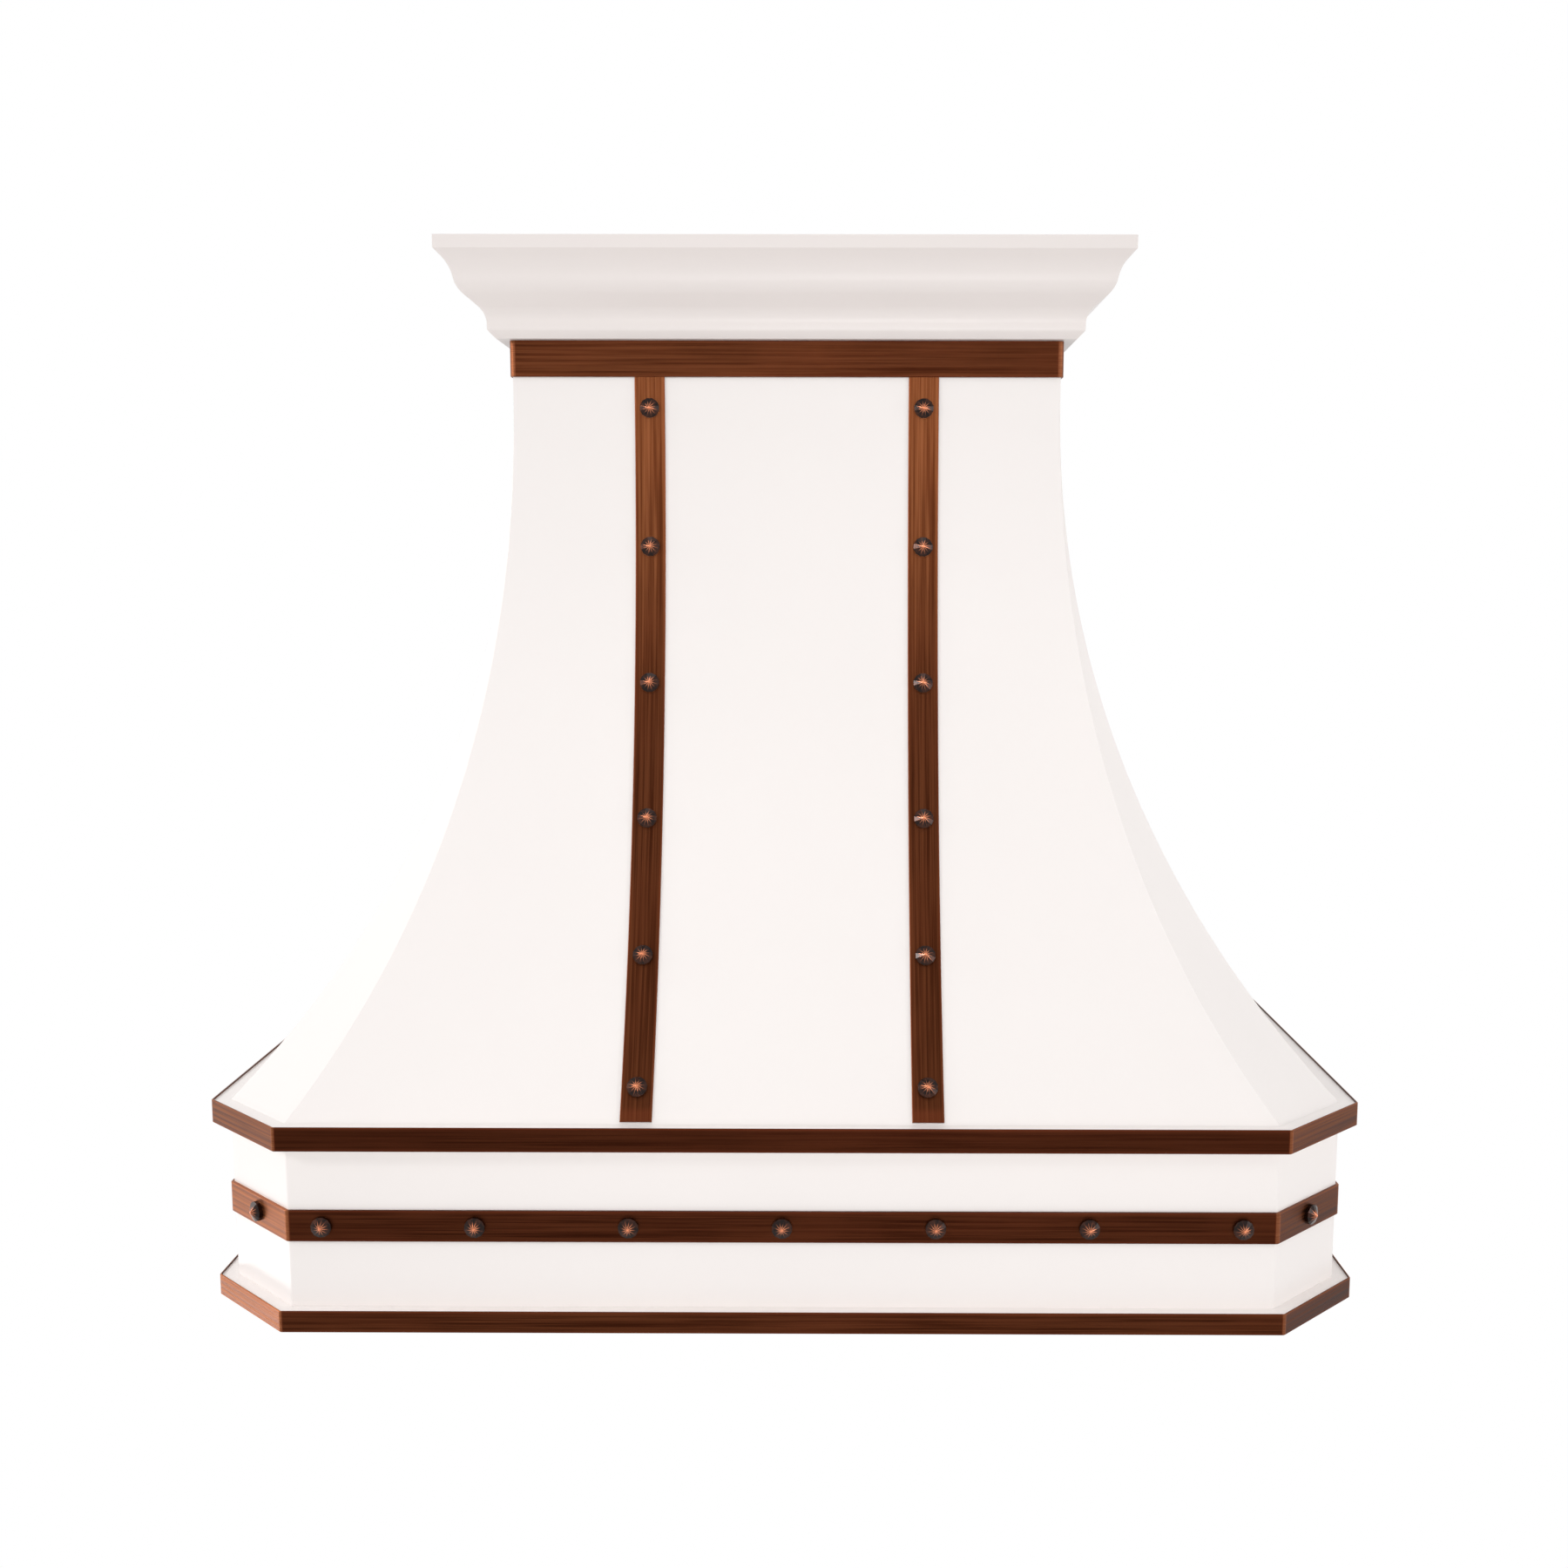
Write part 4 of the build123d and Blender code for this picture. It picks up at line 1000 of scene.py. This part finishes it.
def clavo_tree():
    inputs = [("Radius", "Float", 0.008), ("Wall", "Float", 0.003), ("Height", "Float", 0.007)]
    inputs += [("Facets", "Int", 12), ("Seed", "Int", 4), ("Material", "Material", None)]
    tree, net, given = new_tree("clavo_row", inputs)
    radius, wall, tall, facets = (given.pick(k) for k in ("Radius", "Wall", "Height", "Facets"))
    around, rise = facets * 2.0, tall - wall
    open_ends, capped = {"fill_type": "NONE"}, {"fill_type": "NGON"}
    side = net.add("GeometryNodeMeshCylinder", open_ends, around, 1, 1, radius, wall)
    cone = net.add("GeometryNodeMeshCone", capped, around, 1, 1, radius * 0.08, radius, rise)
    join = net.add("GeometryNodeJoinGeometry", {})
    head = net.gather(join, 0, raised(net, cone, wall), raised(net, side, wall / 2.0))
    head = net.add("GeometryNodeMergeByDistance", {}, head, None, 0.00001)
    spot = net.add("ShaderNodeSeparateXYZ", {}, net.add("GeometryNodeInputPosition", {}))
    y, z = spot.pick("Y"), spot.pick("Z")
    angle = net.add("ShaderNodeMath", {"operation": "ARCTAN2"}, y, spot)
    step = (angle * around / (2 * math.pi)).maths("ROUND").size()
    odd = step.maths("MODULO", 2.0)
    # Every second point of the round is drawn in to the chord, which makes the facets flat.
    shrink = 1.0 - odd * (1.0 - (math.pi / facets).maths("COSINE"))
    flat = net.add("ShaderNodeCombineXYZ", {}, spot * shrink, y * shrink, z)
    head = net.add("GeometryNodeSetPosition", {}, head, None, flat)
    ridge = (1.0 - odd) * z.above(wall * 0.9)
    height = ((z - wall) / rise).most(0.0)
    store = {"data_type": "FLOAT", "domain": "POINT"}
    head = net.add("GeometryNodeStoreNamedAttribute", store, head, None, "ridge", ridge)
    head = net.add("GeometryNodeStoreNamedAttribute", store, head, None, "rise", height)
    head = net.add("GeometryNodeSetShadeSmooth", {}, head, None, False)
    head_on_points(net, given, head, Min=0.16, Max=0.38, Seed=given.pick("Seed"))
    return tree


nail_tree = clavo_tree()
print("tree:", nail_tree.name, len(nail_tree.nodes), "nodes")

# %% [markdown]
# The rows follow the real spacing. On a strap the nails are 112.5 mm apart, and one more
# sits just above the ledge. Along the apron they are 118 mm apart from the middle, with
# one on each corner face.

# %% Rows of clavos
strap_pitch, apron_pitch = 0.1125, 0.118
first_nail, last_nail = 0.025, 0.0267


def strap_spots(x):
    """Nail places down one strap, and the way that each faces."""
    spots, ways = [], []
    for travelled in [first_nail + strap_pitch * i for i in range(5)] + [strap_length - last_nail]:
        angle = max(travelled - strap_rise, 0) / front_radius
        point, out = on_front(x, angle, band_low - min(travelled, strap_rise))
        spots.append(point + out * strap_thick)
        ways.append(out)
    return spots, ways


def apron_spots():
    """Nail places along the front, on the corners and along the sides, and their ways."""
    plan = hood_plan(apron_back - wrap_thick)
    half, side_end, shoulder, front = plan[1][0], -plan[1][1], plan[2][0], -plan[2][1]
    z = sum(z_of["apron_strap"]) / 2
    spots = [Vector((apron_pitch * i, -front, z)) for i in range(-3, 4)]
    ways = [Vector((0, -1, 0))] * len(spots)
    for side in (-1, 1):
        spots.append(Vector((side * (half + shoulder) / 2, -(front + side_end) / 2, z)))
        ways.append(Vector((side, -1, 0)).normalized())
        for i in range(4):
            spots.append(Vector((side * half, -side_end + apron_pitch * (i + 0.5), z)))
            ways.append(Vector((side, 0, 0)))
    return spots, ways


for name, (spots, ways) in {
    "strap_clavos_left": strap_spots(-strap_reach),
    "strap_clavos_right": strap_spots(strap_reach),
    "apron_clavos": apron_spots(),
}.items():
    nails = grown(name + "_heads", nail_tree, spots, ways, Seed=len(name), Material=clavo_copper)
    keep(nails, "clavo_copper", name)

# %% [markdown]
# ## Turned parts
# Buttons, lamps, lenses and the motor are round, so one helper turns an outline about its
# axis. The outlines hold what the solids leave out: soft rims, the dish of a button with
# its dots, the cooling grooves of the motor, and the moulded rings of a lens.

# %% Turn an outline about an axis


def rounded_step(centre, radius, first, last, steps=5):
    """Quarter or part turn of an outline: points on an arc between two angles in degrees."""
    turns = [math.radians(first + (last - first) * i / steps) for i in range(steps + 1)]
    return [(centre[0] + radius * math.cos(t), centre[1] + radius * math.sin(t)) for t in turns]


def turned(outline, centre, axis="Z", steps=64):
    """Closed shell from an outline of (radius, height) pairs that starts and ends on the axis."""
    verts, rings = [], []
    for radius, height in outline:
        if radius < 1e-6:
            rings.append([len(verts)])
            verts.append((0.0, 0.0, height))
            continue
        rings.append(list(range(len(verts), len(verts) + steps)))
        turns = [2 * math.pi * i / steps for i in range(steps)]
        verts += [(radius * math.cos(t), radius * math.sin(t), height) for t in turns]
    faces = []
    for low, high in zip(rings, rings[1:]):
        for i in range(steps):
            around = ((low, i), (low, i + 1), (high, i + 1), (high, i))
            faces.append(list(dict.fromkeys(ring[k % len(ring)] for ring, k in around)))
    if axis == "X":
        verts = [(-z, x, y) for x, y, z in verts]
    return [tuple(a + b for a, b in zip(v, centre)) for v in verts], faces


def shells_piece(name, shells, material, angle=35):
    """One object from closed shells, with every shell's faces turned outwards."""
    verts, faces = [], []
    for points, polygons in shells:
        volume = 0.0
        for polygon in polygons:
            first = Vector(points[polygon[0]])
            for second, third in zip(polygon[1:], polygon[2:]):
                volume += first.dot(Vector(points[second]).cross(Vector(points[third])))
        start = len(verts)
        verts += points
        faces += [[start + i for i in (p if volume > 0 else reversed(p))] for p in polygons]
    mesh = bpy.data.meshes.new(name)
    mesh.from_pydata(verts, [], faces)
    soften(mesh, angle)
    mesh.materials.append(material)
    return put(name, mesh)


def middle(node):
    """Middle of a node's box."""
    low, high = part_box(node)
    return [(a + b) / 2 for a, b in zip(low, high)]


print("turning helper ready")

# %% [markdown]
# **Buttons.** A button has a dished face with one to four raised dots, so that a finger
# can tell it from the next, and a flange behind the panel that keeps it from falling out.
# Each rides on a body of its own, because each goes in when it is pressed.

# %% Buttons
edge_round, flange_thick, dot_pitch, dot_tall = 0.0010, 0.0015, 0.0018, 0.0008
for i in range(1, 5):
    node = f"button_{i}"
    x, y, z = middle(node)
    low, high = z_of[node]
    outline = [(0.0, low + 0.0006), (0.0022, low + 0.0005), (0.0040, low + 0.0001)]
    outline += rounded_step((0.0050, low + edge_round), edge_round, -90, 0)
    outline += [(0.0060, high - flange_thick), (0.0075, high - flange_thick)]
    outline += [(0.0075, high), (0.0, high)]
    dot = [(0.0, low), (0.0004, low), (0.0005, low + 0.0002)]
    dot += [(0.0005, low + dot_tall), (0.0, low + dot_tall)]
    shells = [turned(outline, (x, y, 0), steps=48)]
    for k in range(i):
        shells.append(turned(dot, (x + (k - (i - 1) / 2) * dot_pitch, y, 0), steps=16))
    keep(shells_piece(node + "_cap", shells, plastic_silver), "button_plastic", node, body=node)

# %% [markdown]
# **Lamps.** The lamps keep their recess, but get a rolled rim and cooling fins on the
# hidden side. Each lens is a shallow Fresnel disc: rings a millimetre wide, pressed a
# quarter deep.

# %% Lamps and lenses
base, top = z_of["lamps"]
seat = z_of["lamp_lenses"][1]
rim_radius, rim_round, recess, can, fin = 0.0340, 0.0009, 0.0251, 0.0300, 0.0270
lamp_x, lamp_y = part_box("lamps")[1][0] - rim_radius, middle("lamps")[1]


def lamp_pair(outline):
    """The same outline turned at both lamps."""
    return [turned(outline, (x, lamp_y, 0)) for x in (-lamp_x, lamp_x)]


outline = [(0.0, seat), (recess, seat), (recess, base + 0.0004), (recess + 0.0005, base)]
outline += rounded_step((rim_radius - rim_round, base + rim_round), rim_round, -90, 90)
outline += [(can, base + 0.0018), (can, base + 0.0060)]
for k in range(4):
    z = base + 0.0080 + 0.0035 * k
    outline += [(can, z), (fin, z + 0.0004), (fin, z + 0.0014), (can, z + 0.0018)]
outline += [*rounded_step((fin, top - 0.0030), 0.0030, 0, 90), (0.0, top)]
keep(shells_piece("lamp_cans", lamp_pair(outline), pressed_metal), "lamp_metal", "lamps")

lens_edge, ring_pitch = 0.0249, 0.001
outline = [(0.0, base + 0.0003)]
for k in range(22):
    outline.append((0.0015 + ring_pitch * k, base + 0.0003))
    outline.append((0.0022 + ring_pitch * k, base + 0.00005))
outline += [(lens_edge - 0.0006, base + 0.0001), (lens_edge, base + 0.0004)]
outline += [(lens_edge, seat), (0.0, seat)]
keep(shells_piece("lamp_discs", lamp_pair(outline), frosted, angle=20), "lens", "lamp_lenses")

# %% [markdown]
# **Motor.** The can is turned about X. Its shaft seat is the same bore as in the solid,
# nine cooling grooves run round it, and a shallow seam shows where the end bell is
# pressed on.

# %% Motor
low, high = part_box("blower_motor")
length, radius = high[0] - low[0], (high[2] - low[2]) / 2
bore, bore_depth, bell = 0.00405, 0.0223, 0.0090
groove, seam = radius - 0.0022, radius - 0.0030
outline = [(0.0, bore_depth), (bore, bore_depth), (bore, 0.0)]
outline += [(radius - 0.0015, 0.0), (radius, 0.0015)]
for k in range(9):
    z = 0.0080 + 0.0045 * k
    outline += [(radius, z), (groove, z + 0.0007), (groove, z + 0.0018), (radius, z + 0.0025)]
for r, back in ((radius, 0.0260), (seam, 0.0260), (seam, 0.0240), (radius, 0.0240), (radius, bell)):
    outline.append((r, length - back))
outline += rounded_step((radius - bell, length - bell), bell, 0, 84, 8)
for r, back in ((0.0200, 0.0004), (0.0190, 0.0022), (0.0130, 0.0022), (0.0120, 0), (0.0, 0)):
    outline.append((r, length - back))
motor_y, motor_z = middle("blower_motor")[1:]
can = turned(outline, (high[0], motor_y, motor_z), axis="X", steps=96)
keep(shells_piece("motor_can", [can], motor_black), "motor_black", "blower_motor")

# %% [markdown]
# ## Wire pulls
# Each filter has a bail of 3 mm wire. Its path comes from the box of its node, the corners
# are filleted, and a circle is swept along it. All of that is one small tree.

# %% Node tree for a bent wire


def wire_tree():
    inputs = [("Wire", "Float", 0.0015), ("Bend", "Float", 0.004), ("Material", "Material", None)]
    tree, net, given = new_tree("bent_wire", inputs)
    curve = net.add("GeometryNodeMeshToCurve", {}, given)
    bend = {"Count": 8, "Radius": given.pick("Bend")}
    curve = net.add("GeometryNodeFilletCurve", {"mode": "POLY"}, curve, **bend)
    wire = {"Resolution": 16, "Radius": given.pick("Wire")}
    ring = net.add("GeometryNodeCurvePrimitiveCircle", {}, **wire)
    tube = net.add("GeometryNodeCurveToMesh", {}, curve, ring, Fill_Caps=True)
    close_tree(net, net.add("GeometryNodeSetShadeSmooth", {}, tube), given.pick("Material"))
    return tree


bail_tree, pivot_foot = wire_tree(), 0.007
for side in filter_sides:
    node = "filter_pull_" + side
    low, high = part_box(node)
    x, z, wire = middle(node)[0], middle(node)[2], (high[2] - low[2]) / 2
    half, near, far = (high[0] - low[0]) / 2, low[1] + wire, high[1] - wire
    leg = half - pivot_foot
    bends = [(-half, near), (-leg, near), (-leg, far), (leg, far), (leg, near), (half, near)]
    path = [(x + offset, y, z) for offset, y in bends]
    bail = grown(node + "_bail", bail_tree, path, chain=True, Wire=wire, Material=ground_steel)
    bail.data.set_sharp_from_angle(angle=math.radians(40))
    keep(bail, "pull_wire", node, body="pull_" + side)

# %% [markdown]
# ## Screws and rivets
# Small fasteners hold the deck, the collar, the wiring box, the liner and the filters.
# The tree turns one head to every point's `facing`. A screw head is a low cone with two
# crossed slots cut out of it by a Boolean node, and a rivet is the same head uncut.

# %% Node tree for the fasteners


def fastener_tree():
    inputs = [("Radius", "Float", 0.0032), ("Height", "Float", 0.0014), ("Slotted", "Bool", True)]
    tree, net, given = new_tree("fastener_row", inputs + [("Material", "Material", None)])
    radius, tall = given.pick("Radius"), given.pick("Height")
    capped, union = {"fill_type": "NGON"}, {"operation": "UNION"}
    top, wall = tall * 0.55, tall * 0.45
    cone = net.add("GeometryNodeMeshCone", capped, 24, 1, 1, radius * 0.62, radius, top)
    base = net.add("GeometryNodeMeshCylinder", capped, 24, 1, 1, radius, wall)
    heap = (raised(net, base, tall * 0.225), raised(net, cone, wall))
    whole = net.gather(net.add("GeometryNodeMeshBoolean", union), 1, *heap)
    slots = []
    for long, wide in ((1.2, 0.24), (0.24, 1.2)):
        size = net.add("ShaderNodeCombineXYZ", {}, radius * long, radius * wide, tall)
        slots.append(raised(net, net.add("GeometryNodeMeshCube", {}, size, 2, 2, 2), tall * 0.95))
    cross = net.gather(net.add("GeometryNodeMeshBoolean", union), 1, *slots)
    cut = net.add("GeometryNodeMeshBoolean", {"operation": "DIFFERENCE"}, whole)
    choice = (given.pick("Slotted"), whole, net.gather(cut, 1, cross))
    head = net.add("GeometryNodeSwitch", {"input_type": "GEOMETRY"}, *choice)
    head = net.add("GeometryNodeSetShadeSmooth", {}, head, None, False)
    head_on_points(net, given, head, Max=1.57, Seed=7)
    return tree


screw_tree = fastener_tree()
print("tree:", screw_tree.name, len(screw_tree.nodes), "nodes")

# %% [markdown]
# The rows take their places from the boxes of what they hold: along the edges of the
# deck and the liner, evenly round the collar and the motor, and in the corners of the
# cover and of each filter's baffles.

# %% Rows of screws and rivets
up, under, inset = (0, 0, 1), (0, 0, -1), 0.006


def on_circle(radius, count):
    """Places evenly round a circle, the first one half a step on."""
    turns = [2 * math.pi * (i + 0.5) / count for i in range(count)]
    return [(radius * math.cos(t), radius * math.sin(t)) for t in turns]


def in_corners(node, z):
    """Places a little inside the four corners of a node's box."""
    low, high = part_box(node)
    rows = [(v + inset, w - inset) for v, w in zip(low, high)]
    return [(x, y, z) for x in rows[0] for y in rows[1]]


deck_low, deck_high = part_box("deck")
deck_edge, deck_z, flange = 0.009, deck_high[2], 0.001
deck_row = [(x / 1000, deck_low[1] + deck_edge, deck_z) for x in range(-200, 201, 80)]
for x in (deck_edge - deck_high[0], deck_high[0] - deck_edge):
    deck_row += [(x, -y / 1000, deck_z) for y in (50, 130, 210, 290)]
collar_low, collar_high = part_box("duct_collar")
collar_x, collar_y = middle("duct_collar")[:2]
ring = (collar_high[0] - collar_low[0]) / 2 - inset
collar_row = [(collar_x + a, collar_y + b, deck_z + flange) for a, b in on_circle(ring, 8)]
frame_tall, liner_front, liner_side = 0.018, -0.524, 0.420
liner_z = z_of["filter_frame_middle"][1] - frame_tall
liner_row = [(x / 1000, liner_front, liner_z) for x in (-360, -180, 180, 360)]
for x in (-liner_side, liner_side):
    liner_row += [(x, -y / 1000, liner_z) for y in (90, 230, 370)]
motor_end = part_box("blower_motor")[0][0] + 0.0004
motor_row = [(motor_end, motor_y + a, motor_z + b) for a, b in on_circle(0.028, 4)]
for name, row, way, slot in (
    ("deck_screws", deck_row, up, "galvanised"),
    ("collar_screws", collar_row, up, "galvanised"),
    ("cover_screws", in_corners("junction_cover", z_of["junction_cover"][0]), under, "galvanised"),
    ("liner_screws", liner_row, under, "stainless"),
    ("motor_screws", motor_row, (-1, 0, 0), "motor_black"),
):
    ways = [way] * len(row)
    keep(grown(name, screw_tree, row, ways, Slotted=True, Material=ground_steel), slot)
rivet = {"Slotted": False, "Height": 0.0007, "Radius": 0.0024, "Material": ground_steel}
for side in filter_sides:
    row = in_corners("filter_baffles_" + side, liner_z)
    rivets = grown("filter_rivets_" + side, screw_tree, row, [under] * len(row), **rivet)
    keep(rivets, "filter_steel", body="filter_" + side)

# %% [markdown]
# ## Studio
# The picture is high key: a hood cut out against pure white. The world gives the painted
# surfaces most of their light and a box behind the camera adds the rest, with a little
# more from the left than from the right. A small key light, high on the left, glints in
# the facets of the nail heads and puts the faint shadows beside the straps.

# %% Lamps, floor and background


def soft_box(name, place_at, target, size, power):
    data = bpy.data.lights.new(name, "AREA")
    data.shape, data.size, data.size_y, data.energy = "RECTANGLE", size[0], size[1], power
    lamp = put(name, data)
    lamp.location = place_at
    lamp.rotation_euler = (Vector(target) - Vector(place_at)).to_track_quat("-Z", "Y").to_euler()
    return lamp


soft_box("key_left", (-2.06, -1.53, 1.22), (0, -0.45, 0.4), (0.34, 0.34), 9.5)
soft_box("left_box", (-2.4, -0.45, 0.9), (-0.3, -0.45, 0.3), (0.9, 0.9), 9)
soft_box("right_box", (2.2, -1.5, 0.6), (0.3, -0.45, 0.3), (1.0, 1.0), 9)
soft_box("top_box", (0, -0.8, 2.8), (0, -0.5, 0.2), (1.4, 0.8), 5)
soft_box("low_left", (-2.2, 0.12, -0.95), (-0.42, -0.52, 0.05), (0.7, 0.5), 4)
front_box = soft_box("front_box", (0.18, -3.3, 0.34), (0.07, -0.4, 0.36), (1.0, 0.6), 1.34)
front_box.data.spread = math.radians(50)


def seen_white(net):
    """1 for rays that come straight from the camera or by a reflection or through glass."""
    ray = net.add("ShaderNodeLightPath", {})
    return ray.most(ray.pick("Is Glossy Ray")).most(ray.pick("Is Transmission Ray"))


world = bpy.data.worlds.new("studio")
bpy.context.scene.world = world
net = fresh_net(world)
sky = net.add("ShaderNodeBackground", {}, (1, 1, 1, 1), seen_white(net) * 0.34 + 0.66)
net.add("ShaderNodeOutputWorld", {}, sky)

reach, floor_z = 9, -1.3
floor_mesh = bpy.data.meshes.new("floor")
corners = [(x * reach, y * reach, floor_z) for x, y in ((-1, -1), (1, -1), (1, 1), (-1, 1))]
floor_mesh.from_pydata(corners, [], [(0, 1, 2, 3)])
floor = put("floor", floor_mesh)
paper = bpy.data.materials.new("paper_floor")
net = fresh_net(paper)
matt = net.add("ShaderNodeBsdfDiffuse", {}, (0.9, 0.9, 0.9, 1))
bright = net.add("ShaderNodeEmission", {}, (1, 1, 1, 1), 1.0)
mixed = net.add("ShaderNodeMixShader", {}, seen_white(net), matt, bright)
net.add("ShaderNodeOutputMaterial", {}, mixed)
floor_mesh.materials.append(paper)
floor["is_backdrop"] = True
bpy.context.scene.view_settings.view_transform = "Standard"

# %% [markdown]
# The last cell writes the box of the solids and the box of what now stands for them, so
# that the two can be compared, and hands the dressed hood over.

# %% Print the visual box
low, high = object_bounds()
print("visual box:", [round(v, 4) for v in (*low, *high)])
